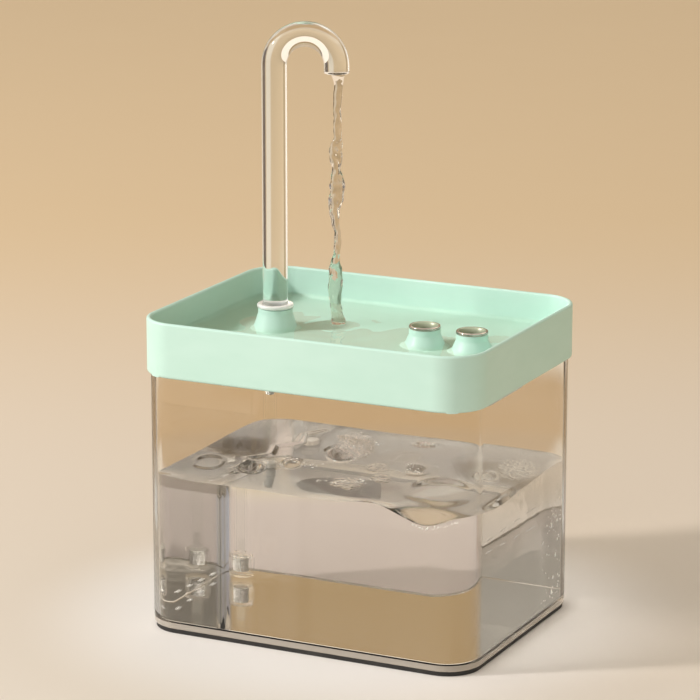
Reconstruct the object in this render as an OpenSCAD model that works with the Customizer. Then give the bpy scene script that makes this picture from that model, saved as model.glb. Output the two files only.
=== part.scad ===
// Pet water fountain: a clear tank under a moulded drinking tray, a clear U-bend spout,
// two overflow drains with a filter cartridge below them, and a self-priming pump that
// hangs under the tray and draws the water up through a suction tube.
// Millimetres. +Z is up, the origin is on the ground under the middle of the tray,
// +X runs along the wide front face and the front looks towards -Y.

/* [Tray] */
// Width of the tray over its outer faces
tray_w = 180; // [170:1:210]
// Depth of the tray over its outer faces
tray_d = 140; // [125:1:170]
// Corner radius of the tray seen from above
tray_corner_r = 20; // [16:0.5:26]
// Thickness of the wall around the basin
tray_wall = 2.3; // [2:0.1:3]
// Thickness of the basin floor
tray_floor_t = 2.2; // [1.6:0.1:3]
// Depth of the basin from its rim to its floor
basin_depth = 18; // [16:0.5:26]
// Radius of the fillet between the basin wall and floor
basin_fillet = 5; // [2:0.5:8]
// Thickness of the skirt that hangs over the tank
skirt_wall = 1.5; // [1.2:0.1:2]
// Length of the skirt below the underside of the basin floor
skirt_drop = 7.3; // [5:0.1:12]
// Gap between the skirt and the tank wall
skirt_gap = 0.3; // [0.2:0.05:0.6]

/* [Tank] */
// Height of the tank from its underside to its rim
tank_h = 135.6; // [115:0.1:170]
// Thickness of the tank wall
tank_wall = 2.6; // [2:0.1:3.5]
// Thickness of the tank floor
tank_floor_t = 3.2; // [2.6:0.1:5]
// Radius of the fillet inside the foot of the tank wall
tank_fillet = 4; // [1:0.5:6]
// Width of the cord notch in the rear wall of the tank
notch_w = 8; // [6:0.5:12]
// Height of the cord notch below the tank rim
notch_h = 13.8; // [10:0.1:20]
// Height at which the foot ring holds the tank above the ground
foot_h = 2.2; // [1.5:0.1:4]
// Width of the foot ring
foot_ring_w = 6; // [4:0.5:8]
// Depth of the groove under the tank that holds the foot ring
foot_groove = 1.2; // [0.8:0.1:1.6]

/* [Spout] */
// Distance from the left face of the tray to the spout
spout_inset = 42.5; // [37:0.5:46]
// Outer diameter of the spout tube
spout_od = 12.5; // [11:0.1:13.5]
// Bore of the spout tube
spout_bore = 8; // [6:0.1:9]
// Length of the straight leg of the spout, from its lower end to the bend
spout_leg = 133.85; // [80:0.05:180]
// Radius of the spout's bend at the middle of the tube
spout_bend_r = 15.4; // [12:0.1:24]
// Straight length below the bend at the outlet
spout_tip = 3.6; // [2:0.1:12]
// Direction of the outlet seen from above, counted from +X
spout_heading = 20; // [0:1:45]
// Height of the spout's standpipe above the basin floor
spout_boss_h = 13.6; // [12:0.1:20]
// Radius of the spout's standpipe at its top
spout_boss_r = 8.6; // [8.4:0.1:10]
// Radius of the socket in the spout's standpipe
socket_r = 7.5; // [7.2:0.05:7.7]
// Radius of the collar's flange
collar_flange_r = 9.15; // [8.5:0.05:10]
// Thickness of the collar's flange
collar_flange_t = 1.9; // [1.2:0.1:3]
// Radius of the elbow under the tray that feeds the spout
elbow_r = 6.5; // [6:0.1:8]
// Bore of the elbow, its barb and the pump's nipple
feed_bore = 7; // [5:0.1:7.5]
// Bore of the hose between the pump and the elbow
hose_bore = 10; // [9.5:0.1:11]
// Wall thickness of the hose
hose_wall = 1.5; // [1:0.1:2]

/* [Drains and filter] */
// Distance from the right face of the tray to the outer drain
drain_inset = 30.4; // [28:0.1:34]
// Distance between the two drains
drain_spacing = 25.2; // [20:0.1:27]
// Height of a drain standpipe above the basin floor
drain_boss_h = 12; // [10:0.1:15]
// Radius of a drain standpipe at its top
drain_boss_r = 7.8; // [7.3:0.1:8]
// Radius of the hole in a drain standpipe
drain_hole_r = 6.5; // [6:0.05:6.7]
// Wall thickness of a drain sleeve below its lip
sleeve_wall = 0.9; // [0.7:0.1:1.2]
// Thickness of a drain sleeve's lip
sleeve_lip_t = 1.5; // [1:0.1:2]
// Width of the filter basket
filter_w = 60; // [56:1:64]
// Depth of the filter basket
filter_d = 52; // [46:1:70]
// Wall thickness of the filter basket and its seat
filter_wall = 1.6; // [1.2:0.1:2]
// Thickness of the carbon layer
carbon_t = 4.5; // [3:0.1:10]
// Thickness of the cotton pad
cotton_t = 4; // [2:0.1:8]
// Thickness of the perforated filter lid
lid_t = 1.5; // [1:0.1:2.5]
// Height of the filter's seat under the basin floor
seat_h = 3.5; // [2:0.1:6]

/* [Pump] */
// Gap between the pump and the rear wall of the tank
pump_wall_gap = 6.6; // [3:0.1:8]
// Height of the pump body
pump_h = 30; // [30:0.5:34]
// Width of the pump body
pump_w = 32; // [32:0.5:34]
// Corner radius of the pump body
pump_corner_r = 6; // [4:0.5:6.5]
// Length of the motor housing
motor_len = 24; // [24:0.5:30]
// Wall thickness of the motor housing
motor_wall = 1.6; // [1.2:0.1:1.8]
// Length of the water chamber
chamber_len = 9; // [8.8:0.1:10.5]
// Radius of the water chamber
chamber_r = 10; // [9.8:0.1:10.2]
// Thickness of the chamber's front wall
chamber_wall = 3.6; // [3.4:0.1:5]
// Diameter of the rotor magnet as a share of the stator core's
magnet_share = 0.423; // [0.38:0.001:0.46]
// Length of the rotor magnet
magnet_len = 15; // [12:0.5:15]
// Diameter of the ceramic shaft
shaft_d = 2; // [1.8:0.1:2.4]
// Number of impeller blades
blades = 10; // [6:1:14]
// Length of the inlet cap on the front of the pump
cap_len = 8; // [7.5:0.5:12]
// How far the suction elbow stands out in front of the inlet cap
inlet_elbow_reach = 10; // [8:0.5:11]
// Height of the suction feet that hold the pump under the tray
suction_h = 4; // [3:0.5:6]

/* [Intake] */
// Bore of the suction tube
suction_bore = 4.5; // [4:0.1:6]
// Wall thickness of the suction tube
suction_wall = 1.2; // [1:0.1:2]
// Gap between the intake strainer and the tank floor
intake_gap = 2.2; // [0.8:0.1:4]
// Radius of the intake strainer
strainer_r = 5.4; // [5:0.1:9]
// Height of the intake strainer between its flanges
strainer_h = 9; // [8:0.5:20]
// Wall thickness of the strainer
strainer_wall = 1; // [0.8:0.1:1.5]
// Thickness of the flow ring that turns on the strainer
flow_ring_t = 1.15; // [1:0.05:2]

/* [Hidden] */
$fn = 64;

run_gap = 0.05;     // radial clearance of a part that turns or slides on another
fixed_gap = 0.02;   // radial clearance of a part that is pressed or bonded in place
seat_gap = 0.3;     // gap between a loose part and its seat
cut = 1;            // how far a cutting solid runs past the face that it cuts

// Heights above the ground
tank_rim_z = foot_h + tank_h;
tank_floor_z = foot_h + tank_floor_t;
basin_under_z = tank_rim_z;
basin_z = basin_under_z + tray_floor_t;
tray_rim_z = basin_z + basin_depth;
skirt_z = basin_under_z - skirt_drop;
spout_boss_z = basin_z + spout_boss_h;
drain_boss_z = basin_z + drain_boss_h;

// Plan of the tank, which the skirt surrounds
tank_inset = skirt_wall + skirt_gap;
tank_w = tray_w - 2 * tank_inset;
tank_d = tray_d - 2 * tank_inset;
tank_corner_r = tray_corner_r - tank_inset;
tank_edge_r = 1.2;  // rounding of the tank's outer bottom edge
foot_inset = 1;     // distance from the tank's face to the foot ring

// Spout and hose
spout_x = spout_inset - tray_w / 2;
socket_floor_z = basin_z + 1.5;
spout_end_z = socket_floor_z + seat_gap;
bend_z = spout_end_z + spout_leg;
collar_sleeve_len = spout_boss_z - socket_floor_z - 1.5;
hose_od = hose_bore + 2 * hose_wall;
hose_end_gap = 1;   // gap between a hose's end and the face it points at
elbow_floor_t = 2;  // thickness below the elbow's bore

// Drains and filter
drain_outer_x = tray_w / 2 - drain_inset;
drain_offset = drain_outer_x - drain_spacing / 2;
drain_x = [drain_outer_x - drain_spacing, drain_outer_x];
boss_flare = 3.9;       // how much wider a standpipe is at the basin floor than at its top
boss_neck = 3.6;        // straight length at the top of a standpipe
flare_power = 1.15;     // shape of the flare: 1 is a plain cone
sleeve_tail = 1.5;      // how far a drain sleeve reaches below the basin floor
filter_corner_r = 8;
filter_stack = carbon_t + cotton_t + lid_t;
filter_h = filter_wall + filter_stack + seat_h;
filter_z = basin_under_z - seat_gap - filter_h;
seat_w = filter_w - 2 * (filter_wall + seat_gap);
seat_d = filter_d - 2 * (filter_wall + seat_gap);
seat_corner_r = filter_corner_r - filter_wall - seat_gap;

// Pump: stations along its axis, counted from the middle of the outlet nipple
pump_axis_z = basin_under_z - suction_h - pump_h / 2;
pump_y = tank_d / 2 - tank_wall - pump_wall_gap - pump_w / 2;
feed_run = pump_y - pump_w / 2 - elbow_r;
feed_gap = 2;           // gap between the ends of the nipple and the elbow's barb
nipple_len = (feed_run - feed_gap) / 2;
barb_len = nipple_len;
nipple_r = hose_bore / 2 - fixed_gap;
chamber_back = -nipple_r - 0.2;
chamber_front = chamber_back + chamber_len;
cover_front = chamber_front + chamber_wall;
cap_front = cover_front + cap_len;
cap_wall = 1.6;
inlet_station = (cover_front + cap_front - cap_wall) / 2;
motor_back = chamber_back - motor_len;
motor_front_wall = 2.2;
rear_cap_t = 2;
core_gap = 0.4;         // gap between the stator core and the motor wall
core_r = min(pump_h, pump_w) / 2 - motor_wall - core_gap;
yoke_t = 0.14 * core_r;
magnet_od = 2 * magnet_share * core_r;
can_inner_r = magnet_od / 2 + 0.6;
can_wall = 0.8;
can_outer_r = can_inner_r + can_wall;
bush_r = 2;
bush_len = 2.8;
bush_seat_len = 3;
hub_r = 2.6;
hub_front = chamber_front - seat_gap;
magnet_front = chamber_back - 2;
hub_back = magnet_front - magnet_len - 0.7;
can_back = hub_back - seat_gap;
rear_seat_wall = 1;
inlet_ring_r = 5.5;
inlet_hole_r = 1.6;
seal_ring_r = chamber_r + 1.2;
seal_r = 0.65;
screw_r = 1;
screw_head_r = 1.75;
screw_head_t = 1.3;
screw_wall = 1.2;
screw_hold = 7;         // how deep the screws reach into the motor housing
screw_back = chamber_back - screw_hold;
screw_inset = 4.6;
screw_x = pump_h / 2 - screw_inset;
screw_y = pump_w / 2 - screw_inset;
foot_stud_r = 2.1;
foot_stud_len = 2;
foot_neck_r = 2.6;
foot_cup_r = 5;
foot_lip = 0.6;
foot_rise = 1.4;        // how far a foot's cup rises from its neck to its lip
foot_y = 10;
foot_stations = [motor_back + 5.7, chamber_back - 5.8];
board_t = 1.2;
board_back = motor_back + seat_gap;
gland_r = 3;
gland_at = [6, 7];      // up and towards the rear from the pump's axis

// Intake
inlet_elbow_r = suction_bore / 2 + suction_wall;
suction_station = cap_front + inlet_elbow_reach;
suction_x = spout_x - suction_station;
suction_barb_r = suction_bore / 2 - fixed_gap;
suction_barb_len = 8;
barb_bore_r = suction_barb_r - 0.8;
strainer_z = tank_floor_z + intake_gap;
strainer_floor_t = 1.2;
strainer_roof_t = 1.2;
strainer_top_z = strainer_z + strainer_floor_t + strainer_h + strainer_roof_t;
flange_r = strainer_r + run_gap + flow_ring_t;
intake_slots = 6;
slot_w = 2;
flow_turn = 30;

// ---------------------------------------------------------------- shared shapes

// A flat rounded rectangle
module rounded_rect(w, d, r) {
    square([w - 2 * r, d], center = true);
    square([w, d - 2 * r], center = true);
    for (sx = [-1, 1], sy = [-1, 1])
        translate([sx * (w / 2 - r), sy * (d / 2 - r)]) circle(r);
}

// An upright block with round corners, standing on z
module rounded_block(w, d, r, z, h) {
    translate([0, 0, z]) linear_extrude(h) rounded_rect(w, d, r);
}

// Carries a profile round a rounded rectangle. In the profile x runs outwards from the
// corner centres, so the outer face lies at x = r, and y is the height.
module sweep_around(w, d, r) {
    for (side = [0, 180]) rotate([0, 0, side])
        translate([-(w / 2 - r), d / 2 - r, 0]) rotate([90, 0, 90]) linear_extrude(w - 2 * r) children();
    for (side = [90, 270]) rotate([0, 0, side])
        translate([-(d / 2 - r), w / 2 - r, 0]) rotate([90, 0, 90]) linear_extrude(d - 2 * r) children();
    for (q = [0:3]) {
        sx = (q == 0 || q == 3) ? 1 : -1;
        sy = q < 2 ? 1 : -1;
        translate([sx * (w / 2 - r), sy * (d / 2 - r), 0]) rotate([0, 0, 90 * q])
            rotate_extrude(angle = 90) children();
    }
}

// Points of an arc about c, from angle a0 to a1
function arc(c, rx, ry, a0, a1, steps = 6) =
    [for (i = [0:steps]) let (a = a0 + (a1 - a0) * i / steps) c + [rx * cos(a), ry * sin(a)]];

// A pipe between two heights
module pipe(r_out, r_in, z, h) {
    difference() {
        translate([0, 0, z]) cylinder(h = h, r = r_out);
        translate([0, 0, z - cut]) cylinder(h = h + 2 * cut, r = r_in);
    }
}

// Places what is drawn along Z on the pump's axis, with its front towards -X.
// Drawn x points up and drawn y stays y.
module on_pump_axis() {
    translate([spout_x, pump_y, pump_axis_z]) rotate([0, -90, 0]) children();
}

// ---------------------------------------------------------------- tank

module tank() {
    inner_r = tank_corner_r - tank_wall;
    foot_x = tank_corner_r - tank_wall - tank_fillet;
    profile = concat(
        [[foot_x, foot_h]],
        arc([tank_corner_r - tank_edge_r, foot_h + tank_edge_r], tank_edge_r, tank_edge_r, -90, 0),
        arc([tank_corner_r - tank_wall / 2, tank_rim_z - 0.6], tank_wall / 2, 0.6, 0, 180),
        arc([foot_x, tank_floor_z + tank_fillet], tank_fillet, tank_fillet, 0, -90));
    color([0.86, 0.90, 0.90, 0.35]) difference() {
        union() {
            sweep_around(tank_w, tank_d, tank_corner_r) polygon(profile);
            rounded_block(tank_w - 2 * (tank_wall + tank_fillet) + cut,
                          tank_d - 2 * (tank_wall + tank_fillet) + cut,
                          inner_r - tank_fillet + cut / 2, foot_h, tank_floor_t);
        }
        foot_ring_solid(fixed_gap, cut);
        translate([-notch_w / 2, tank_d / 2 - tank_wall - tank_fillet, tank_rim_z - notch_h + notch_w / 2])
            cube([notch_w, 2 * (tank_wall + tank_fillet), notch_h]);
        translate([0, tank_d / 2 + cut, tank_rim_z - notch_h + notch_w / 2])
            rotate([90, 0, 0]) cylinder(h = tank_wall + tank_fillet + cut, r = notch_w / 2);
    }
}

// The foot ring's shape. grow widens it all round, for its groove in the tank, and below
// lets that cut run past the tank's underside.
module foot_ring_solid(grow = 0, below = 0) {
    w = tank_w - 2 * foot_inset;
    d = tank_d - 2 * foot_inset;
    r = tank_corner_r - foot_inset;
    difference() {
        rounded_block(w + 2 * grow, d + 2 * grow, r + grow, -below, foot_h + foot_groove + below);
        rounded_block(w - 2 * (foot_ring_w + grow), d - 2 * (foot_ring_w + grow),
                      r - foot_ring_w - grow, -below - cut, foot_h + foot_groove + below + 2 * cut);
    }
}

module foot_ring() {
    color([0.10, 0.10, 0.10]) foot_ring_solid();
}

// ---------------------------------------------------------------- tray

// A standpipe that flares out towards the basin floor
module standpipe(top_r, h) {
    steps = 8;
    flare = [for (i = [0:steps]) let (t = i / steps)
        [top_r + boss_flare * pow(t, flare_power), h - boss_neck - (h - boss_neck) * t]];
    lip = 0.4;
    rotate_extrude() polygon(concat(
        [[0, -tray_floor_t], [0, h], [top_r - lip, h], [top_r, h - lip]],
        flare,
        [[top_r + boss_flare, -tray_floor_t]]));
}

module tray() {
    rim_r = tray_wall / 2;
    fillet_x = tray_corner_r - tray_wall - basin_fillet;
    elbow_z = pump_axis_z - feed_bore / 2 - elbow_floor_t;
    profile = concat(
        [[tray_corner_r - skirt_wall, skirt_z]],
        arc([tray_corner_r - 1.1, skirt_z + 2.2], 1.1, 2.2, -90, 0),
        arc([tray_corner_r - rim_r, tray_rim_z - rim_r], rim_r, rim_r, 0, 180, 8),
        arc([fillet_x, basin_z + basin_fillet], basin_fillet, basin_fillet, 0, -90),
        [[fillet_x, basin_under_z], [tray_corner_r - skirt_wall, basin_under_z]]);
    color([0.74, 0.92, 0.84]) difference() {
        union() {
            sweep_around(tray_w, tray_d, tray_corner_r) polygon(profile);
            rounded_block(tray_w - 2 * (tray_wall + basin_fillet) + cut,
                          tray_d - 2 * (tray_wall + basin_fillet) + cut,
                          fillet_x + cut / 2, basin_under_z, tray_floor_t);
            translate([spout_x, 0, basin_z]) standpipe(spout_boss_r, spout_boss_h);
            for (x = drain_x) translate([x, 0, basin_z]) standpipe(drain_boss_r, drain_boss_h);
            translate([spout_x, 0, elbow_z]) cylinder(h = basin_z - elbow_z, r = elbow_r);
            translate([spout_x, 0, pump_axis_z]) rotate([-90, 0, 0])
                cylinder(h = elbow_r + barb_len, r = hose_bore / 2 - run_gap);
            translate([drain_offset, 0, 0]) difference() {
                rounded_block(seat_w, seat_d, seat_corner_r, basin_under_z - seat_h, seat_h + cut);
                rounded_block(seat_w - 2 * filter_wall, seat_d - 2 * filter_wall,
                              seat_corner_r - filter_wall, basin_under_z - seat_h - cut, seat_h + cut);
            }
        }
        translate([spout_x, 0, socket_floor_z]) cylinder(h = spout_boss_h + cut, r = socket_r);
        translate([spout_x, 0, pump_axis_z]) {
            sphere(feed_bore / 2);
            cylinder(h = basin_z + basin_depth - pump_axis_z, r = feed_bore / 2);
            rotate([-90, 0, 0]) cylinder(h = elbow_r + barb_len + cut, r = feed_bore / 2);
        }
        for (x = drain_x) translate([x, 0, basin_under_z - cut])
            cylinder(h = tray_floor_t + drain_boss_h + 2 * cut, r = drain_hole_r);
    }
}

// A clear liner in a drain standpipe, with a thin lip and a funnel mouth
module drain_sleeve(x) {
    r_out = drain_hole_r - run_gap;
    r_in = r_out - sleeve_wall;
    lip_r = drain_boss_r;
    mouth_r = lip_r - 1.5;
    tail = drain_boss_h + tray_floor_t + sleeve_tail;
    color([0.80, 0.78, 0.74]) translate([x, 0, drain_boss_z]) rotate_extrude() polygon([
        [r_in, -tail], [r_out, -tail], [r_out, 0], [lip_r, 0], [lip_r, sleeve_lip_t - 0.3],
        [lip_r - 0.3, sleeve_lip_t], [mouth_r, sleeve_lip_t], [r_in, -2]]);
}

// ---------------------------------------------------------------- spout

// A soft collar that grips the tube and turns with it in the standpipe's socket
module spout_collar() {
    bore_r = spout_od / 2 + run_gap;
    sleeve_r = socket_r - run_gap;
    edge = 0.55;
    z = spout_boss_z + seat_gap;
    color([0.95, 0.96, 0.94]) translate([spout_x, 0, z]) rotate_extrude() polygon(concat(
        [[bore_r, -collar_sleeve_len - seat_gap], [sleeve_r, -collar_sleeve_len - seat_gap], [sleeve_r, 0]],
        arc([collar_flange_r - edge, edge], edge, edge, -90, 0),
        arc([collar_flange_r - edge, collar_flange_t - edge], edge, edge, 0, 90),
        [[bore_r, collar_flange_t]]));
}

module spout_tube() {
    r_out = spout_od / 2;
    r_in = spout_bore / 2;
    color([0.90, 0.93, 0.92, 0.35]) translate([spout_x, 0, 0]) rotate([0, 0, spout_heading]) {
        pipe(r_out, r_in, spout_end_z, spout_leg);
        translate([spout_bend_r, 0, bend_z]) rotate([90, 0, 0]) rotate_extrude(angle = 180)
            translate([spout_bend_r, 0]) difference() {
                circle(r_out);
                circle(r_in);
            }
        translate([2 * spout_bend_r, 0, 0]) pipe(r_out, r_in, bend_z - spout_tip, spout_tip);
    }
}

// Hose between the pump's nipple and the elbow under the tray
module feed_hose() {
    start = elbow_r + hose_end_gap;
    end = pump_y - pump_w / 2 - hose_end_gap;
    color([0.90, 0.92, 0.90, 0.5]) translate([spout_x, 0, pump_axis_z]) rotate([-90, 0, 0])
        pipe(hose_od / 2, hose_bore / 2, start, end - start);
}

// ---------------------------------------------------------------- filter

module filter_basket() {
    slot_w = 3;
    slot_pitch = 6;
    slot_margin = 10;
    slot_len = filter_d - 2 * slot_margin;
    slots = 3;
    color([0.93, 0.94, 0.92]) translate([drain_offset, 0, filter_z]) difference() {
        rounded_block(filter_w, filter_d, filter_corner_r, 0, filter_h);
        rounded_block(filter_w - 2 * filter_wall, filter_d - 2 * filter_wall,
                      filter_corner_r - filter_wall, filter_wall, filter_h);
        for (i = [-slots:slots]) translate([i * slot_pitch - slot_w / 2, -slot_len / 2, -cut])
            cube([slot_w, slot_len, filter_wall + 2 * cut]);
    }
}

// A layer that fills the basket's plan at a height above the basket's floor
module filter_layer(rise, t) {
    inset = filter_wall + seat_gap;
    translate([drain_offset, 0, 0]) rounded_block(filter_w - 2 * inset, filter_d - 2 * inset,
        filter_corner_r - inset, filter_z + filter_wall + rise, t);
}

module filter_carbon() {
    color([0.09, 0.09, 0.09]) filter_layer(0, carbon_t);
}

module filter_cotton() {
    color([0.97, 0.97, 0.95]) filter_layer(carbon_t, cotton_t);
}

module filter_lid() {
    hole_r = 1.8;
    pitch = 8;
    color([0.93, 0.94, 0.92]) difference() {
        filter_layer(carbon_t + cotton_t, lid_t);
        for (i = [-2:2], j = [-2:2]) translate([drain_offset + i * pitch, j * pitch, filter_z])
            cylinder(h = filter_h + cut, r = hole_r);
    }
}

// ---------------------------------------------------------------- pump

module pump_section(z, len, inset = 0) {
    rounded_block(pump_h - 2 * inset, pump_w - 2 * inset, pump_corner_r - inset, z, len);
}

module at_screws() {
    for (sx = [-1, 1], sy = [-1, 1]) translate([sx * screw_x, sy * screw_y, 0]) children();
}

// Places what is drawn upwards on the top of the pump, at its suction feet
module at_feet() {
    for (station = foot_stations, y = [-foot_y, foot_y])
        translate([pump_h / 2, y, station]) rotate([0, 90, 0]) children();
}

module pump_housing() {
    cavity_len = motor_len - motor_front_wall;
    post_back = screw_back - 2.5;
    foot_seat_t = 0.8;
    color([0.93, 0.94, 0.93]) on_pump_axis() difference() {
        union() {
            difference() {
                pump_section(motor_back, motor_len);
                pump_section(motor_back - cut, cavity_len + cut, motor_wall);
            }
            translate([0, 0, can_back - rear_seat_wall])
                cylinder(h = chamber_back - can_back + rear_seat_wall - 0.5, r = can_outer_r);
            translate([0, 0, can_back - bush_seat_len - rear_seat_wall])
                cylinder(h = bush_seat_len + rear_seat_wall + 0.5, r = bush_r + 1.4);
            intersection() {
                pump_section(post_back, chamber_back - post_back);
                at_screws() translate([0, 0, post_back])
                    cylinder(h = chamber_back - post_back, r = screw_r + screw_wall);
            }
            at_feet() translate([0, 0, -foot_stud_len - foot_seat_t])
                cylinder(h = foot_stud_len + foot_seat_t - motor_wall / 2, r = foot_stud_r + foot_seat_t);
        }
        translate([0, 0, can_back]) cylinder(h = chamber_back - can_back + cut, r = can_inner_r);
        translate([0, 0, can_back - bush_seat_len]) cylinder(h = bush_seat_len + cut, r = bush_r + fixed_gap);
        translate([0, 0, chamber_back - 2 * seal_r]) pipe(seal_ring_r + seal_r + 0.2, seal_ring_r - seal_r - 0.2,
            0, 2 * seal_r + cut);
        at_screws() translate([0, 0, screw_back - 1])
            cylinder(h = chamber_back - screw_back + 2 * cut, r = screw_r + fixed_gap);
        at_feet() translate([0, 0, -foot_stud_len - 0.1])
            cylinder(h = foot_stud_len + 0.1 + cut, r = foot_stud_r + fixed_gap);
    }
}

module pump_rear_cap() {
    color([0.93, 0.94, 0.93]) on_pump_axis() difference() {
        pump_section(motor_back - rear_cap_t, rear_cap_t);
        translate([gland_at.x, gland_at.y, motor_back - rear_cap_t - cut])
            cylinder(h = rear_cap_t + 2 * cut, r = gland_r);
    }
}

// Laminated stator around the rotor can, with four wound teeth
core_back = can_back + 3;
core_len = magnet_len - 4;
shoe_t = 1.2;
tooth_w = 3.2;
shoe_r = can_outer_r + 0.2;
coil_t = 1.5;
coil_gap = 0.1;

module stator_core() {
    shoe_half_angle = 32;
    reach = 2 * core_r;
    color([0.55, 0.56, 0.58]) on_pump_axis() translate([0, 0, core_back]) {
        pipe(core_r, core_r - yoke_t, 0, core_len);
        for (q = [0:3]) rotate([0, 0, 90 * q]) {
            translate([shoe_r + shoe_t / 2, -tooth_w / 2, 0])
                cube([core_r - yoke_t / 2 - shoe_r - shoe_t / 2, tooth_w, core_len]);
            intersection() {
                pipe(shoe_r + shoe_t, shoe_r, 0, core_len);
                linear_extrude(core_len) polygon([[0, 0],
                    reach * [cos(shoe_half_angle), -sin(shoe_half_angle)],
                    reach * [cos(shoe_half_angle), sin(shoe_half_angle)]]);
            }
        }
    }
}

module stator_coils() {
    inner = shoe_r + shoe_t + coil_gap;
    outer = core_r - yoke_t - coil_gap;
    grow = coil_t + coil_gap;
    color([0.72, 0.40, 0.20]) on_pump_axis() for (q = [0:3]) rotate([0, 0, 90 * q]) difference() {
        intersection() {
            translate([inner, -tooth_w / 2 - grow, core_back - grow])
                cube([outer - inner, tooth_w + 2 * grow, core_len + 2 * grow]);
            translate([0, 0, core_back - 2 * grow]) cylinder(h = core_len + 4 * grow, r = outer);
        }
        translate([inner - cut, -tooth_w / 2 - coil_gap, core_back - coil_gap])
            cube([outer - inner + 2 * cut, tooth_w + 2 * coil_gap, core_len + 2 * coil_gap]);
    }
}

// Driver board with its sensor, capacitor and chip, which face the front
module drive_board() {
    inset = motor_wall + seat_gap;
    sink = 0.1;
    sensor = [4, 4, 1.3];
    sensor_at = [5, -2];
    chip = [5, 6, 1.2];
    chip_at = [-10, -9];
    capacitor_r = 2.2;
    capacitor_h = 2.5;
    capacitor_at = [-8, 8];
    color([0.10, 0.38, 0.24]) on_pump_axis() {
        pump_section(board_back, board_t, inset);
        translate([0, 0, board_back + board_t - sink]) {
            translate(sensor_at) cube(sensor);
            translate(chip_at) cube(chip);
            translate(capacitor_at) cylinder(h = capacitor_h, r = capacitor_r);
        }
    }
}

module rotor_magnet() {
    color([0.20, 0.20, 0.21]) on_pump_axis()
        pipe(magnet_od / 2, hub_r + fixed_gap, magnet_front - magnet_len, magnet_len);
}

module impeller() {
    plate_r = chamber_r - 0.8;
    plate_t = 1;
    plate_back = chamber_back + 0.8;
    blade_t = 1;
    blade_h = hub_front - 1.1 - plate_back - plate_t;
    color([0.92, 0.93, 0.92]) on_pump_axis() difference() {
        union() {
            translate([0, 0, hub_back]) cylinder(h = hub_front - hub_back, r = hub_r);
            translate([0, 0, plate_back]) cylinder(h = plate_t, r = plate_r);
            for (i = [0:blades - 1]) rotate([0, 0, 360 * i / blades])
                translate([hub_r / 2, -blade_t / 2, plate_back + plate_t / 2])
                    cube([plate_r - 0.3 - hub_r / 2, blade_t, blade_h + plate_t / 2]);
        }
        translate([0, 0, hub_back - cut])
            cylinder(h = hub_front - hub_back + 2 * cut, r = shaft_d / 2 + run_gap);
    }
}

module rotor_shaft() {
    z = can_back - bush_seat_len + 0.2;
    color([0.96, 0.96, 0.94]) on_pump_axis() translate([0, 0, z])
        cylinder(h = chamber_front + bush_seat_len - z, r = shaft_d / 2);
}

module bush(z) {
    color([0.86, 0.82, 0.72]) on_pump_axis() pipe(bush_r, shaft_d / 2 + fixed_gap, z, bush_len);
}

module rear_bush() {
    bush(can_back - bush_seat_len);
}

module front_bush() {
    bush(chamber_front + bush_seat_len + 0.2 - bush_len);
}

module chamber_seal() {
    color([0.15, 0.15, 0.15]) on_pump_axis() translate([0, 0, chamber_back - seal_r])
        rotate_extrude() translate([seal_ring_r, 0]) circle(seal_r, $fn = 32);
}

module volute_cover() {
    color([0.93, 0.94, 0.93]) on_pump_axis() difference() {
        union() {
            pump_section(chamber_back, cover_front - chamber_back);
            rotate([90, 0, 0]) cylinder(h = pump_w / 2 + nipple_len, r = nipple_r);
        }
        translate([0, 0, chamber_back - cut]) cylinder(h = chamber_len + cut, r = chamber_r);
        translate([0, 0, chamber_front - cut]) cylinder(h = bush_seat_len + 0.2 + cut, r = bush_r + fixed_gap);
        for (q = [0:3]) rotate([0, 0, 90 * q]) translate([inlet_ring_r, 0, chamber_front - cut])
            cylinder(h = chamber_wall + 2 * cut, r = inlet_hole_r);
        at_screws() translate([0, 0, chamber_back - cut])
            cylinder(h = chamber_len + chamber_wall + 2 * cut, r = screw_r + fixed_gap);
        rotate([90, 0, 0]) translate([0, 0, chamber_r - 2])
            cylinder(h = pump_w + nipple_len, r = feed_bore / 2);
    }
}

// Cap on the front of the pump whose elbow joins the suction tube to the chamber's inlet holes
module inlet_cap() {
    color([0.93, 0.94, 0.93]) on_pump_axis() difference() {
        union() {
            pump_section(cover_front, cap_len);
            translate([0, 0, cap_front - cap_wall]) cylinder(h = inlet_elbow_reach + cap_wall, r = inlet_elbow_r);
            translate([0, 0, suction_station]) {
                sphere(inlet_elbow_r);
                rotate([0, -90, 0]) cylinder(h = pump_h / 2, r = inlet_elbow_r);
                rotate([0, -90, 0]) cylinder(h = pump_h / 2 + suction_barb_len, r = suction_barb_r);
            }
        }
        difference() {
            pump_section(cover_front - cut, cap_len - cap_wall + cut, cap_wall);
            at_screws() translate([0, 0, cover_front - 2 * cut])
                cylinder(h = cap_len + 2 * cut, r = screw_head_r + screw_wall);
        }
        translate([0, 0, inlet_station]) cylinder(h = suction_station - inlet_station, r = barb_bore_r);
        translate([0, 0, suction_station]) {
            sphere(barb_bore_r);
            rotate([0, -90, 0]) cylinder(h = pump_h + suction_barb_len, r = barb_bore_r);
        }
        at_screws() {
            translate([0, 0, cover_front - cut]) cylinder(h = cap_len + 2 * cut, r = screw_r + fixed_gap);
            translate([0, 0, cap_front - screw_head_t]) cylinder(h = screw_head_t + cut, r = screw_head_r + 0.1);
        }
    }
}

module pump_screws() {
    color([0.75, 0.76, 0.78]) on_pump_axis() at_screws() {
        translate([0, 0, cap_front - screw_head_t]) cylinder(h = screw_head_t, r = screw_head_r);
        translate([0, 0, screw_back]) cylinder(h = cap_front - screw_head_t - screw_back, r = screw_r);
    }
}

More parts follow.
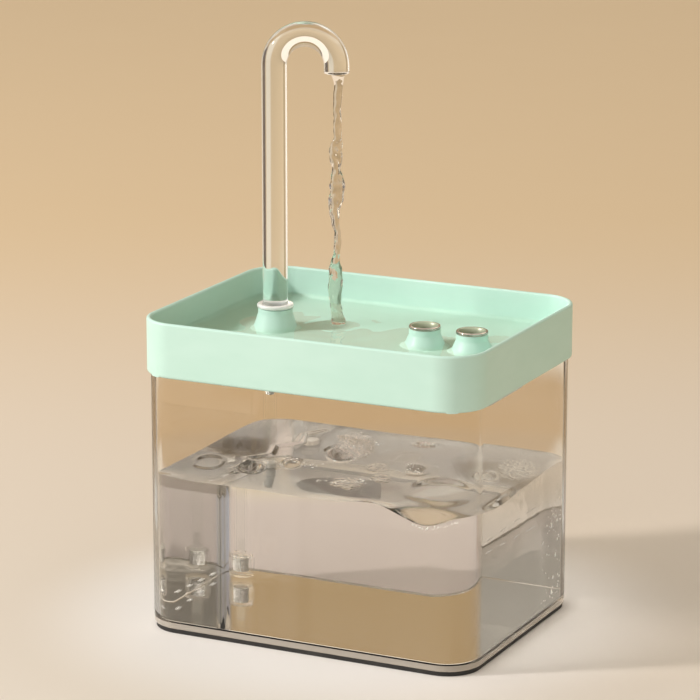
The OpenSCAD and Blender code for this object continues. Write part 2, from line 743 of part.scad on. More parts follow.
module suction_feet() {
    color([0.12, 0.12, 0.12]) on_pump_axis() at_feet() rotate_extrude() polygon([
        [0, -foot_stud_len], [foot_stud_r, -foot_stud_len], [foot_stud_r, 0], [foot_neck_r, 0],
        [foot_neck_r, suction_h - foot_lip / 2 - foot_rise], [foot_cup_r, suction_h - foot_lip / 2],
        [foot_cup_r - foot_lip, suction_h], [0, suction_h - foot_lip]]);
}

// Rubber gland where the supply cord enters the motor housing
module cord_gland() {
    bore_r = 1.6;
    boot_len = 8;
    flange_t = 1.2;
    color([0.12, 0.12, 0.12]) on_pump_axis() translate([gland_at.x, gland_at.y, motor_back - rear_cap_t])
        mirror([0, 0, 1]) rotate_extrude() polygon([
            [bore_r, -rear_cap_t], [gland_r - fixed_gap, -rear_cap_t], [gland_r - fixed_gap, 0],
            [gland_r + flange_t, 0], [gland_r + flange_t, flange_t], [gland_r + 0.4, flange_t],
            [bore_r + 1, boot_len], [bore_r, boot_len]]);
}

// ---------------------------------------------------------------- intake

module at_intake() {
    translate([suction_x, pump_y, 0]) children();
}

module suction_tube() {
    z = strainer_top_z + hose_end_gap;
    top = pump_axis_z - pump_h / 2 - hose_end_gap;
    color([0.90, 0.93, 0.92, 0.5]) at_intake()
        pipe(suction_bore / 2 + suction_wall, suction_bore / 2, z, top - z);
}

// Slots through the strainer and its flow ring, all the way round
module intake_slot_cuts() {
    margin = 1.5;
    for (i = [0:intake_slots - 1]) rotate([0, 0, 360 * i / intake_slots])
        translate([0, -slot_w / 2, strainer_z + strainer_floor_t + margin])
            cube([2 * strainer_r, slot_w, strainer_h - 2 * margin]);
}

module strainer() {
    wall_z = strainer_z + strainer_floor_t;
    roof_z = strainer_top_z - strainer_roof_t;
    color([0.90, 0.93, 0.92, 0.6]) at_intake() difference() {
        union() {
            translate([0, 0, wall_z]) cylinder(h = strainer_h + strainer_roof_t, r = strainer_r);
            translate([0, 0, roof_z]) cylinder(h = strainer_roof_t, r = flange_r);
            translate([0, 0, roof_z]) cylinder(h = strainer_roof_t + suction_barb_len, r = suction_barb_r);
        }
        translate([0, 0, wall_z - cut]) cylinder(h = strainer_h + cut, r = strainer_r - strainer_wall);
        translate([0, 0, wall_z]) cylinder(h = strainer_h + suction_barb_len + 2 * cut + strainer_roof_t,
            r = barb_bore_r);
        intake_slot_cuts();
    }
}

module strainer_base() {
    color([0.90, 0.93, 0.92, 0.6]) at_intake() {
        translate([0, 0, strainer_z]) cylinder(h = strainer_floor_t, r = flange_r);
        translate([0, 0, strainer_z + strainer_floor_t / 2])
            cylinder(h = strainer_floor_t / 2 + 1, r = strainer_r - strainer_wall - fixed_gap);
    }
}

// Flow regulator: turning the ring covers the strainer's slots
module flow_ring() {
    grips = 3;
    grip_w = 1.6;
    grip_t = 0.7;
    grip_inset = 0.8;
    height = strainer_h - 2 * seat_gap;
    color([0.90, 0.93, 0.92, 0.6]) at_intake() difference() {
        translate([0, 0, strainer_z + strainer_floor_t + seat_gap]) {
            cylinder(h = height, r = flange_r);
            for (i = [0:grips - 1]) rotate([0, 0, 360 * i / grips + 180 / intake_slots])
                translate([strainer_r, -grip_w / 2, grip_inset])
                    cube([flow_ring_t + run_gap + grip_t, grip_w, height - 2 * grip_inset]);
        }
        translate([0, 0, strainer_z]) cylinder(h = 2 * strainer_h, r = strainer_r + run_gap);
        intake_slot_cuts();
    }
}

module intake_sponge() {
    z = strainer_z + strainer_floor_t + 1 + seat_gap;
    color([0.90, 0.90, 0.88]) at_intake() translate([0, 0, z])
        cylinder(h = strainer_top_z - strainer_roof_t - seat_gap - z, r = strainer_r - strainer_wall - seat_gap);
}

tank();
foot_ring();
tray();
drain_sleeve(drain_x[0]);  // drain_sleeve_inner
drain_sleeve(drain_x[1]);  // drain_sleeve_outer
spout_collar();
spout_tube();
feed_hose();
filter_basket();
filter_carbon();
filter_cotton();
filter_lid();
pump_housing();
pump_rear_cap();
stator_core();
stator_coils();
drive_board();
rotor_magnet();
impeller();
rotor_shaft();
rear_bush();
front_bush();
chamber_seal();
volute_cover();
inlet_cap();
pump_screws();
suction_feet();
cord_gland();
suction_tube();
strainer();
strainer_base();
flow_ring();
intake_sponge();
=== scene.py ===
import math
import random

import bmesh
import bpy
from mathutils import Matrix, Vector, noise


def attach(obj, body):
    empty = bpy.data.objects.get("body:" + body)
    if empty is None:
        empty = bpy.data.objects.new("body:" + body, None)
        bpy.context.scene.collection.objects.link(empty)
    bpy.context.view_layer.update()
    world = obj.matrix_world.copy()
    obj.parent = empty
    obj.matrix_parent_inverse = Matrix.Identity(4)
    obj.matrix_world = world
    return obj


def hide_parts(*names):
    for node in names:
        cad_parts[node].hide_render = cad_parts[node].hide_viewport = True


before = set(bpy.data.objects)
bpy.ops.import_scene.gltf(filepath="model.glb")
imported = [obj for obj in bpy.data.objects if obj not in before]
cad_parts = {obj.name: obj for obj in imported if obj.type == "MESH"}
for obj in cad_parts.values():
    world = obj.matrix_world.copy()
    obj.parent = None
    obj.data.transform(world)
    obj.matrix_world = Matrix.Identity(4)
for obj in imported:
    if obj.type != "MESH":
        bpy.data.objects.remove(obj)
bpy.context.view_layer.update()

random.seed(7)

# ---------------------------------------------------------------- sizes, in millimetres
MM = 0.001            # metres in a millimetre
TRAY_W, TRAY_D, TRAY_R = 180.0, 140.0, 20.0
TRAY_WALL, SKIRT_WALL, SKIRT_EDGE, BASIN_FILLET = 2.3, 1.5, 1.3, 5.0
SKIRT_Z, UNDER_Z, BASIN_Z, RIM_Z = 130.5, 137.8, 140.0, 158.0
TANK_W, TANK_D, TANK_R = 176.4, 136.4, 18.2
TANK_WALL, TANK_FOOT_Z, TANK_FLOOR_Z = 2.6, 2.2, 5.4
TANK_FILLET, TANK_EDGE, TANK_LIP, TANK_BASE_Z = 0.5, 1.2, 0.6, 5.6
FOOT_INSET, FOOT_W, FOOT_GAP, TANK_REST_W = 1.0, 6.0, 0.05, 7.5   # the dark band under the tank
NOTCH_W, NOTCH_Z = 8.0, 124.0
SPOUT_X, SPOUT_HEADING, SPOUT_BEND = -47.5, math.radians(20), 15.4
SPOUT_LOW, SPOUT_BEND_Z, SPOUT_TIP = 141.8, 275.65, 3.6
SPOUT_OUT_R, SPOUT_IN_R = 6.25, 4.0
# The middle of the spout's outlet, in plan
MOUTH_X = SPOUT_X + 2 * SPOUT_BEND * math.cos(SPOUT_HEADING)
MOUTH_Y = 2 * SPOUT_BEND * math.sin(SPOUT_HEADING)
SPOUT_BOSS_R, SPOUT_BOSS_H, SOCKET_R, SOCKET_FLOOR = 8.6, 13.6, 7.5, 1.5
DRAIN_XS, DRAIN_BOSS_R, DRAIN_BOSS_H, DRAIN_HOLE_R = (34.4, 59.6), 7.8, 12.0, 6.5
SEAT_X, SEAT_W, SEAT_D, SEAT_R, SEAT_H, SEAT_WALL = 47.0, 56.2, 48.2, 6.1, 3.5, 1.6
PUMP_Z, ELBOW_R = 118.8, 6.5
BARB_R, FEED_R, BARB_LEN = 4.95, 3.5, 9.25
TRAY_WATER_Z = 144.5
TANK_WATER_Z = 77.5
CLEAR = 0.03          # gap between the tank's water and its walls, which keeps their reflections
SOAK = 0.4            # how far the tray's water reaches into its plastic, so that no gap shows
ACROSS = math.radians(26)   # heading of the line that the stream's and the ripples' widths lie along


def srgb(red, green, blue):
    """A colour given as screen values from 0 to 255, as the shader wants it."""
    parts = [c / 255 for c in (red, green, blue)]
    parts = [c / 12.92 if c <= 0.04045 else ((c + 0.055) / 1.055) ** 2.4 for c in parts]
    return (*parts, 1.0)


# ---------------------------------------------------------------- shader expressions
class Socket:
    """A shader socket that takes part in Python sums."""

    def __init__(self, finish, socket):
        self.finish, self.socket = finish, socket

    def math(self, operation, *values):
        return self.finish.node("ShaderNodeMath", {"operation": operation}, dict(enumerate(values)))

    def __add__(self, other):
        return self.math("ADD", self, other)

    __radd__ = __add__

    def __sub__(self, other):
        return self.math("SUBTRACT", self, other)

    def __rsub__(self, other):
        return self.math("SUBTRACT", other, self)

    def __mul__(self, other):
        return self.math("MULTIPLY", self, other)

    __rmul__ = __mul__


class Nodes:
    """A node tree written as expressions."""

    def __init__(self, tree):
        self.tree = tree

    def node(self, kind, settings=None, inputs=None, output=0):
        node = self.tree.nodes.new(kind)
        for name, value in (settings or {}).items():
            setattr(node, name, value)
        for name, value in (inputs or {}).items():
            if isinstance(value, Socket):
                self.tree.links.new(value.socket, node.inputs[name])
            else:
                node.inputs[name].default_value = value
        return Socket(self, node.outputs[output])

    def between(self, value, low, high):
        """0 below low, 1 above high, and smooth between them."""
        return self.node("ShaderNodeMapRange", {"interpolation_type": "SMOOTHSTEP"},
                         {"Value": value, "From Min": low, "From Max": high})

    def blend(self, factor, first, second):
        return self.node("ShaderNodeMix", {"data_type": "RGBA"}, {0: factor, 6: first, 7: second}, output=2)

    def along(self, direction, line):
        """How far one direction or place reaches along another."""
        return self.node("ShaderNodeVectorMath", {"operation": "DOT_PRODUCT"}, {0: direction, 1: line},
                         output="Value")

    def facing(self, direction, heading):
        """How nearly a direction points to a heading, in degrees from +X: 1 for straight at it."""
        h = math.radians(heading)
        return self.along(direction, (math.cos(h), math.sin(h), 0))

    def length(self, vector):
        return self.node("ShaderNodeVectorMath", {"operation": "LENGTH"}, {0: vector}, output="Value")


class Finish(Nodes):
    """A material written over the piece's own coordinates."""

    def __init__(self, name, **constants):
        self.material = bpy.data.materials.new(name)
        self.material.use_nodes = True
        super().__init__(self.material.node_tree)
        self.shader = self.tree.nodes["Principled BSDF"]
        for socket, value in constants.items():
            self.shader.inputs[socket.replace("_", " ")].default_value = value
        self.place = self.node("ShaderNodeTexCoord", output="Object")

    def noise(self, scale, detail=2.0, roughness=0.5, vector=None):
        return self.node("ShaderNodeTexNoise", {}, {"Vector": vector or self.place, "Scale": scale,
                                                    "Detail": detail, "Roughness": roughness})

    def stretched(self, x, y, z):
        """The piece's coordinates, scaled along each axis."""
        return self.node("ShaderNodeMapping", {}, {"Vector": self.place, "Scale": (x, y, z)})

    def axis(self, name):
        return self.node("ShaderNodeSeparateXYZ", {}, {0: self.place}, output=name)

    def set(self, name, value):
        self.tree.links.new(value.socket, self.shader.inputs[name])

    def bump(self, height, depth):
        """Relief of so many millimetres from a height that runs from 0 to 1."""
        self.set("Normal", self.node("ShaderNodeBump", {}, {"Strength": 1.0, "Distance": depth * MM,
                                                            "Height": height}))

    def pass_light(self, share):
        """Lets lamps through: each skin that a lamp's ray meets keeps so much of it."""
        veil = self.node("ShaderNodeBsdfTransparent", {}, {"Color": (share, share, share, 1)})
        shadow = self.node("ShaderNodeLightPath", output="Is Shadow Ray")
        solid = Socket(self, self.shader.outputs[0])
        mixed = self.node("ShaderNodeMixShader", {}, {0: shadow, 1: solid, 2: veil})
        self.tree.links.new(mixed.socket, self.tree.nodes["Material Output"].inputs["Surface"])


def moulded(name, light, dark, roughness=0.35, grain=0.012, coat=0.0, **constants):
    """Injection-moulded plastic: faint flow mottle, a fine spark-eroded grain and uneven gloss."""
    f = Finish(name, Coat_Weight=coat, Coat_Roughness=0.28, **constants)
    flow = f.noise(22, 3, 0.55, f.stretched(1, 1, 2.5))
    f.set("Base Color", f.blend(f.between(flow, 0.3, 0.7), light, dark))
    fine = f.noise(2600, 2, 0.6)
    f.set("Roughness", roughness + 0.10 * (f.noise(70, 2) - 0.5) + 0.05 * (fine - 0.5))
    f.bump(fine, grain)
    return f.material


def clear_plastic(name, tint, ior=1.49, haze=0.02, depth=0.01, share=0.86, **constants):
    """Polished clear plastic with a few faint wipe marks and a slow ripple from its mould."""
    f = Finish(name, Base_Color=tint, Transmission_Weight=1.0, IOR=ior, **constants)
    wipes = f.between(f.noise(14, 4, 0.6, f.stretched(1, 1, 0.35)), 0.55, 0.8)
    f.set("Roughness", haze * wipes)
    f.bump(f.noise(38, 1), depth)
    f.pass_light(share)
    return f.material


def lit_edge():
    """The thick foot of the tank, shown milky: its cream, half-clear colour is painted light, standing for
    the light that its moulded edge gathers.
    """
    f = Finish("clear_tank_foot", IOR=1.45, Transmission_Weight=0.45, Coat_Weight=1.0, Coat_Roughness=0.03)
    f.set("Base Color", f.blend(f.noise(30, 2), srgb(226, 217, 203), srgb(205, 195, 180)))
    f.set("Roughness", 0.06 + 0.1 * f.noise(60, 2))
    f.bump(f.noise(40, 1), 0.01)
    f.pass_light(0.58)
    return f.material


def bubble_air():
    # The beads are painted glints: a near-white colour and a faint glow stand in for the highlights of air in
    # water
    f = Finish("air_bubbles", Coat_Weight=1.0, Coat_Roughness=0.02, Emission_Color=srgb(252, 248, 240),
               Emission_Strength=0.4)
    f.set("Base Color", f.blend(f.noise(300, 1), srgb(252, 250, 246), srgb(236, 233, 226)))
    f.set("Roughness", 0.06 + 0.06 * f.noise(500, 1))
    f.bump(f.noise(900, 1), 0.004)
    return f.material


def water(name, tint, ripple, scale, share=0.86):
    f = Finish(name, Base_Color=tint, Transmission_Weight=1.0, IOR=1.333, Roughness=0.0)
    f.bump(f.noise(scale, 2, 0.5), ripple)
    f.pass_light(share)
    return f.material


# Patches of crinkles on the tank's water: middle, half sizes and how rough
PATCH_TURN, PATCH_REACH = 0.45, 12.0
PATCHES = [(-19, 34, 11, 30, 1.0), (7.9, -31.4, 9, 11, 0.9), (9, 0, 6, 9, 0.4), (19, -16, 5, 9, 0.4),
           (72, 30, 12, 22, 0.25)]


def broken_water():
    """The tank's water: clear, with painted shade at its left end, on its front and its top, and high on
    its right side, in place of the darker surroundings it mirrors there; with patches of fine crinkles where
    drops have met it."""
    f = Finish("tank_water", Transmission_Weight=1.0, IOR=1.333, Roughness=0.0)
    x, y, z = (f.axis(name) for name in "XYZ")
    front, top = 1 - f.between(y, -0.058, -0.050), f.between(z, 0.0738, 0.0748)
    left = 1 - f.between(x + 0.22 * y, -0.058, -0.051)
    right_painted_shade = f.between(x, 0.0852, 0.0855)
    # Painted shade: the left end of the front and of the top, and the right side high up, are darkened
    tint = f.blend(0.55 * left * front, srgb(252, 253, 252), (0.20, 0.20, 0.19, 1))
    tint = f.blend(0.8 * left * top, tint, (0.18, 0.16, 0.13, 1))
    tint = f.blend(right_painted_shade * f.between(z, 0.040, 0.066), tint, (0.60, 0.52, 0.45, 1))
    f.set("Base Color", tint)
    wander = 0.8 * (f.noise(120, 3) - 0.5)
    crinkle = f.node("ShaderNodeTexWave", {"bands_direction": "DIAGONAL"},
                     {"Vector": f.stretched(1, 1, 0), "Scale": 85.0, "Distortion": 9.0, "Detail": 3.0,
                      "Detail Scale": 2.5}, output="Fac")
    height = 0.04 * f.noise(60, 2)
    for x, y, rx, ry, rough in PATCHES:
        local = f.node("ShaderNodeMapping", {"vector_type": "TEXTURE"},
                       {"Vector": f.place, "Location": (x * MM, y * MM, TANK_WATER_Z * MM),
                        "Rotation": (0, 0, PATCH_TURN), "Scale": (rx * MM, ry * MM, PATCH_REACH * MM)})
        q = f.length(local) + wander
        height = height + rough * (1 - f.between(q, 0.5, 1.05)) * crinkle
    f.bump(height, 0.6)
    f.pass_light(0.86)
    return f.material


MINT = moulded("mint_plastic", srgb(201, 235, 223), srgb(195, 231, 218), roughness=0.48, grain=0.010,
               coat=0.1)
WHITE = moulded("white_plastic", srgb(236, 238, 234), srgb(228, 231, 227), roughness=0.38, grain=0.012)
TANK_CLEAR = clear_plastic("clear_tank_plastic", srgb(254, 254, 252), ior=1.16, haze=0.015, depth=0.004,
                           share=0.55, Coat_Weight=0.3, Coat_Roughness=0.02)
TUBE_CLEAR = clear_plastic("clear_spout_plastic", srgb(250, 251, 249), haze=0.01, depth=0.003)
TUBE_BORE = clear_plastic("water_filled_bore", srgb(252, 253, 253), ior=1.01, haze=0.0, depth=0.003,
                          share=0.97)
HOSE_CLEAR = clear_plastic("clear_hose_silicone", srgb(254, 255, 254), ior=1.04, haze=0.02, share=0.97,
                           Coat_Weight=0.3, Coat_Roughness=0.05, Alpha=0.5)
STRAINER_CLEAR = clear_plastic("clear_strainer_plastic", srgb(254, 255, 254), ior=1.04, haze=0.02, share=0.97,
                               Coat_Weight=0.3, Coat_Roughness=0.03, Alpha=0.5)
TANK_WATER = broken_water()
TRAY_WATER = water("tray_water", srgb(250, 252, 250), 0.05, 80, share=0.96)
# The stream's grey-tan tint is painted shade: it darkens clear water
STREAM_WATER = water("stream_water", srgb(226, 221, 211), 0.22, 230)


def white_silicone():
    f = Finish("white_silicone", Coat_Weight=0.6, Coat_Roughness=0.05, Subsurface_Weight=0.5,
               Subsurface_Radius=(0.004, 0.004, 0.0035), Subsurface_Scale=1.0)
    cloud = f.between(f.noise(90, 2), 0.35, 0.65)
    f.set("Base Color", f.blend(cloud, srgb(247, 250, 247), srgb(238, 243, 239)))
    f.set("Roughness", 0.22 + 0.1 * f.noise(500, 2))
    f.bump(f.noise(1400, 1), 0.006)
    return f.material


def black_rubber():
    f = Finish("black_rubber")
    grain = f.noise(3200, 3, 0.65)
    dust = f.between(f.noise(60, 3), 0.45, 0.75)
    f.set("Base Color", f.blend(dust, srgb(34, 32, 30), srgb(52, 50, 46)))
    f.set("Roughness", 0.55 + 0.2 * grain)
    f.bump(grain, 0.03)
    return f.material


def sleeve_steel():
    """Polished pressed steel with faint turning marks, toned where water has run."""
    f = Finish("sleeve_steel", Metallic=1.0)
    worn = f.between(f.noise(160, 2), 0.35, 0.65)
    f.set("Base Color", f.blend(worn, srgb(202, 192, 184), srgb(166, 154, 146)))
    f.set("Roughness", 0.10 + 0.10 * f.noise(700, 2, 0.5, f.stretched(1, 1, 12)))
    f.bump(f.noise(900, 2, 0.5, f.stretched(1, 1, 10)), 0.004)
    return f.material


def sleeve_bore_painted_shade():
    """The bore of a drain sleeve: the same steel, less metallic, in a darker greenish grey that is painted
    shade of the hole and a painted reflection of the mint plastic around it.
    """
    f = Finish("sleeve_bore_painted_shade", Metallic=0.35)
    f.set("Base Color", f.blend(f.noise(120, 2), srgb(186, 194, 170), srgb(146, 154, 130)))
    f.set("Roughness", 0.30 + 0.15 * f.noise(600, 2, 0.5, f.stretched(1, 1, 8)))
    f.bump(f.noise(900, 2), 0.006)
    return f.material


def carbon_granules():
    f = Finish("carbon_granules")
    cells = f.node("ShaderNodeTexVoronoi", {}, {"Vector": f.place, "Scale": 620.0})
    f.set("Base Color", f.blend(cells, srgb(58, 58, 60), srgb(16, 16, 17)))
    f.set("Roughness", 0.5 + 0.3 * f.noise(900, 2))
    f.bump(1 - cells, 0.8)
    return f.material


def felt():
    f = Finish("needled_felt", Sheen_Weight=0.4)
    fibre = f.noise(1500, 4, 0.7, f.stretched(1, 3, 1))
    f.set("Base Color", f.blend(fibre, srgb(244, 244, 238), srgb(214, 214, 206)))
    f.set("Roughness", 0.85 + 0.1 * fibre)
    f.bump(fibre, 0.25)
    return f.material


def foam():
    # The foam's faint warm glow is painted light, making up for the lamp light that the clear tank and water
    # hold back
    f = Finish("open_foam", Emission_Color=srgb(210, 188, 166), Emission_Strength=0.14)
    pores = f.node("ShaderNodeTexVoronoi", {"feature": "SMOOTH_F1"}, {"Vector": f.place, "Scale": 900.0})
    f.set("Base Color", f.blend(f.between(pores, 0.1, 0.7), srgb(236, 232, 224), srgb(254, 252, 247)))
    f.set("Roughness", 0.85 + 0.1 * pores)
    f.bump(pores, 0.5)
    return f.material


def laminated_steel():
    f = Finish("laminated_steel", Metallic=1.0)
    sheets = f.node("ShaderNodeTexWave", {"bands_direction": "X"},
                    {"Vector": f.place, "Scale": 320.0, "Distortion": 0.3})
    f.set("Base Color", f.blend(sheets, srgb(120, 121, 124), srgb(176, 178, 182)))
    f.set("Roughness", 0.35 + 0.2 * f.noise(800, 2))
    f.bump(sheets, 0.05)
    return f.material


def enamelled_wire():
    f = Finish("enamelled_wire", Metallic=0.8, Coat_Weight=0.7)
    turns = f.node("ShaderNodeTexWave", {"bands_direction": "DIAGONAL"}, {"Vector": f.place, "Scale": 700.0})
    f.set("Base Color", f.blend(turns, srgb(110, 52, 22), srgb(206, 122, 64)))
    f.set("Roughness", 0.25 + 0.15 * f.noise(500, 1))
    f.bump(turns, 0.15)
    return f.material


def solder_mask():
    f = Finish("solder_mask", Coat_Weight=0.4)
    tracks = f.node("ShaderNodeTexBrick", {}, {"Vector": f.place, "Scale": 260.0, "Mortar Size": 0.03,
                                               "Color1": srgb(18, 92, 58), "Color2": srgb(24, 104, 66),
                                               "Mortar": srgb(40, 128, 84)})
    f.set("Base Color", tracks)
    f.set("Roughness", 0.3 + 0.2 * f.noise(600, 2))
    f.bump(f.noise(900, 2), 0.02)
    return f.material


def ferrite():
    f = Finish("moulded_ferrite")
    grit = f.noise(1800, 3, 0.6)
    f.set("Base Color", f.blend(grit, srgb(36, 36, 39), srgb(62, 62, 65)))
    f.set("Roughness", 0.45 + 0.2 * grit)
    f.bump(grit, 0.02)
    return f.material


def ceramic():
    f = Finish("polished_ceramic")
    f.set("Base Color", f.blend(f.noise(600, 2), srgb(244, 240, 230), srgb(234, 228, 214)))
    f.set("Roughness", 0.12 + 0.1 * f.noise(900, 2))
    f.bump(f.noise(2400, 1), 0.003)
    return f.material


def stainless():
    f = Finish("stainless_steel", Metallic=1.0)
    turned = f.noise(900, 2, 0.5, f.stretched(1, 8, 8))
    f.set("Base Color", f.blend(turned, srgb(176, 178, 182), srgb(206, 208, 210)))
    f.set("Roughness", 0.22 + 0.2 * turned)
    f.bump(turned, 0.01)
    return f.material


TANK_BASE, AIR_PAINTED_GLINTS = lit_edge(), bubble_air()
RUBBER, SILICONE, SLEEVE, SLEEVE_BORE = black_rubber(), white_silicone(), sleeve_steel(), sleeve_bore_painted_shade()
CARBON, FELT, FOAM_PAINTED_GLOW = carbon_granules(), felt(), foam()
STEEL_CORE, WIRE, BOARD, MAGNET = laminated_steel(), enamelled_wire(), solder_mask(), ferrite()
CERAMIC, STAINLESS = ceramic(), stainless()


# ---------------------------------------------------------------- mesh tools
def move(bm, verts, x=0.0, y=0.0, z=0.0):
    bmesh.ops.translate(bm, vec=(x, y, z), verts=verts)


def new_parts(made, kind):
    """The vertices or edges among what an operator made."""
    return [part for part in made if isinstance(part, kind)]


def extend(bm, edges):
    """Extrudes a row of edges. Returns the new row's vertices and edges."""
    made = bmesh.ops.extrude_edge_only(bm, edges=edges)["geom"]
    verts = new_parts(made, bmesh.types.BMVert)
    return verts, [e for e in new_parts(made, bmesh.types.BMEdge) if all(v in verts for v in e.verts)]


def bevel(bm, edges, width, segments):
    bmesh.ops.bevel(bm, geom=list(edges), offset=width, offset_type="OFFSET", segments=segments,
                    profile=0.5, affect="EDGES", material=-1, clamp_overlap=True)


def edges_at(bm, z, sharp=40):
    """The edges that lie at one height and turn a corner there."""
    return [e for e in bm.edges if all(abs(v.co.z - z) < 1e-3 for v in e.verts)
            and len(e.link_faces) == 2 and e.calc_face_angle(0) > math.radians(sharp)]


def face_at(bm, z, up):
    """The widest flat face at one height that looks up or down."""
    flat = [f for f in bm.faces if abs(f.calc_center_median().z - z) < 1e-3 and f.normal.z * up > 0.99]
    return max(flat, key=lambda f: f.calc_area())


def rounded_block(bm, width, depth, radius, low, high, segments=20, x=0.0):
    """A closed block with round upright corners."""
    verts = bmesh.ops.create_cube(bm, size=1)["verts"]
    bmesh.ops.scale(bm, vec=(width, depth, high - low), verts=verts)
    move(bm, verts, x=x, z=(low + high) / 2)
    upright = {e for v in verts for e in v.link_edges if abs(e.verts[0].co.z - e.verts[1].co.z) > 1e-3}
    bevel(bm, upright, radius, segments)
    bm.normal_update()


def hollow(bm, face, wall, bottom):
    """Sinks a face, set in by the wall's thickness, to another height."""
    bmesh.ops.inset_region(bm, faces=[face], thickness=wall, use_even_offset=True)
    made = bmesh.ops.extrude_face_region(bm, geom=[face])["geom"]
    verts = new_parts(made, bmesh.types.BMVert)
    move(bm, verts, z=bottom - verts[0].co.z)
    if face.is_valid:
        bmesh.ops.delete(bm, geom=[face], context="FACES_ONLY")
    bm.normal_update()


def spin_outline(bm, outline, segments, closed):
    """Turns an outline of radii and heights about the upright axis."""
    verts = [bm.verts.new((r, 0, z)) for r, z in outline]
    after = verts[1:] + verts[:1] if closed else verts[1:]
    edges = [bm.edges.new(pair) for pair in zip(verts, after)]
    bmesh.ops.spin(bm, geom=verts + edges, cent=(0, 0, 0), axis=(0, 0, 1), angle=2 * math.pi,
                   steps=segments, use_merge=True, use_duplicate=False)


def turned(bm, outline, segments=96):
    """A solid of revolution about an upright axis. The outline runs from axis to axis."""
    spin_outline(bm, outline, segments, closed=False)
    bmesh.ops.remove_doubles(bm, verts=bm.verts, dist=1e-4)


def turned_ring(bm, outline, x=0.0, segments=96):
    """A ring of revolution. The outline closes on itself."""
    spin_outline(bm, outline, segments, closed=True)
    move(bm, bm.verts, x=x)


def shape(make, *args, **options):
    """A mesh object, in millimetres, of what a maker draws."""
    bm = bmesh.new()
    make(bm, *args, **options)
    bmesh.ops.remove_doubles(bm, verts=bm.verts, dist=1e-4)
    bmesh.ops.recalc_face_normals(bm, faces=bm.faces)
    mesh = bpy.data.meshes.new("shape")
    bm.to_mesh(mesh)
    bm.free()
    obj = bpy.data.objects.new("shape", mesh)
    bpy.context.scene.collection.objects.link(obj)
    return obj


def rod(bm, radius, start, end, segments=64):
    """A closed cylinder between two points."""
    start, end = Vector(start), Vector(end)
    turn = (end - start).to_track_quat("Z", "Y").to_matrix().to_4x4()
    bmesh.ops.create_cone(bm, cap_ends=True, segments=segments, radius1=radius, radius2=radius,
                          depth=(end - start).length, matrix=Matrix.Translation((start + end) / 2) @ turn)


def combine(base, others, operation):
    """Joins other shapes to a base or cuts them from it, and clears them away."""
    for other in others:
        modifier = base.modifiers.new("combine", "BOOLEAN")
        modifier.operation, modifier.solver, modifier.object = operation, "EXACT", other
    graph = bpy.context.evaluated_depsgraph_get()
    mesh = bpy.data.meshes.new_from_object(base.evaluated_get(graph), depsgraph=graph)
    base.modifiers.clear()
    old, base.data = base.data, mesh
    bpy.data.meshes.remove(old)
    for other in others:
        bpy.data.meshes.remove(other.data)
    return base


def finish_piece(obj, name, body, material, replaces=(), crease=32, weighted=True):
    """Names a shape, brings it to metres, smooths it, gives it its finish and lets it ride."""
    obj.name = obj.data.name = name
    bm = bmesh.new()
    bm.from_mesh(obj.data)
    bmesh.ops.scale(bm, vec=(MM,) * 3, verts=bm.verts)
    for edge in bm.edges:
        edge.smooth = len(edge.link_faces) == 2 and edge.calc_face_angle(0) < math.radians(crease)
    for face in bm.faces:
        face.smooth = True
    bm.to_mesh(obj.data)
    bm.free()
    obj.data.materials.clear()
    obj.data.materials.append(material)
    if weighted:
        modifier = obj.modifiers.new("flat faces stay flat", "WEIGHTED_NORMAL")
        modifier.keep_sharp = True
    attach(obj, body)
    if replaces:
        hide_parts(*replaces)
    return obj


def second_finish(obj, material, chosen):
    """Gives the faces that pass a test their own finish."""
    obj.data.materials.append(material)
    for face in obj.data.polygons:
        if chosen(face.center / MM, face.normal):
            face.material_index = len(obj.data.materials) - 1


# ---------------------------------------------------------------- camera
camera_data = bpy.data.cameras.new("camera")
camera_data.sensor_width = 36
camera_data.lens = 172.86
camera_data.clip_start, camera_data.clip_end = 0.05, 60
camera = bpy.data.objects.new("camera", camera_data)
camera.location = (0.697895, -1.446619, 0.546510)
camera.rotation_euler = (math.radians(90 - 14.305), 0, math.radians(25.953))
bpy.context.scene.collection.objects.link(camera)
bpy.context.scene.camera = camera
bpy.context.scene.view_settings.view_transform = "Standard"


# ---------------------------------------------------------------- tank
def tank_shell(bm):
    rounded_block(bm, TANK_W, TANK_D, TANK_R, TANK_FOOT_Z, UNDER_Z, segments=24)
    hollow(bm, face_at(bm, UNDER_Z, 1), TANK_WALL, TANK_FLOOR_Z)
    bevel(bm, edges_at(bm, TANK_FLOOR_Z), TANK_FILLET, 8)
    bevel(bm, edges_at(bm, TANK_FOOT_Z), TANK_EDGE, 4)
    bevel(bm, edges_at(bm, UNDER_Z), TANK_LIP, 3)
    bmesh.ops.bisect_plane(bm, geom=bm.verts[:] + bm.edges[:] + bm.faces[:], plane_co=(0, 0, TANK_BASE_Z),
                           plane_no=(0, 0, 1))
    bmesh.ops.inset_region(bm, faces=[face_at(bm, TANK_FOOT_Z, -1)], thickness=TANK_REST_W)


NOTCH_CUT_D, NOTCH_CUT_H = 10.0, 20.0
NOTCH_Y, NOTCH_ROUND_Z = TANK_D / 2 - TANK_WALL / 2, NOTCH_Z + NOTCH_W / 2


def cord_notch(bm):
    """The round end of the cord's notch in the rear wall."""
    rod(bm, NOTCH_W / 2, (0, NOTCH_Y - NOTCH_CUT_D / 2, NOTCH_ROUND_Z),
        (0, NOTCH_Y + NOTCH_CUT_D / 2, NOTCH_ROUND_Z), 40)


def cord_notch_mouth(bm):
    """The straight part of the notch, up through the rim."""
    verts = bmesh.ops.create_cube(bm, size=1)["verts"]
    bmesh.ops.scale(bm, vec=(NOTCH_W, NOTCH_CUT_D, NOTCH_CUT_H), verts=verts)
    move(bm, verts, y=NOTCH_Y, z=NOTCH_ROUND_Z + NOTCH_CUT_H / 2)


tank = combine(shape(tank_shell), [shape(cord_notch), shape(cord_notch_mouth)], "DIFFERENCE")
finish_piece(tank, "clear_tank", "tank", TANK_CLEAR, ["tank"])


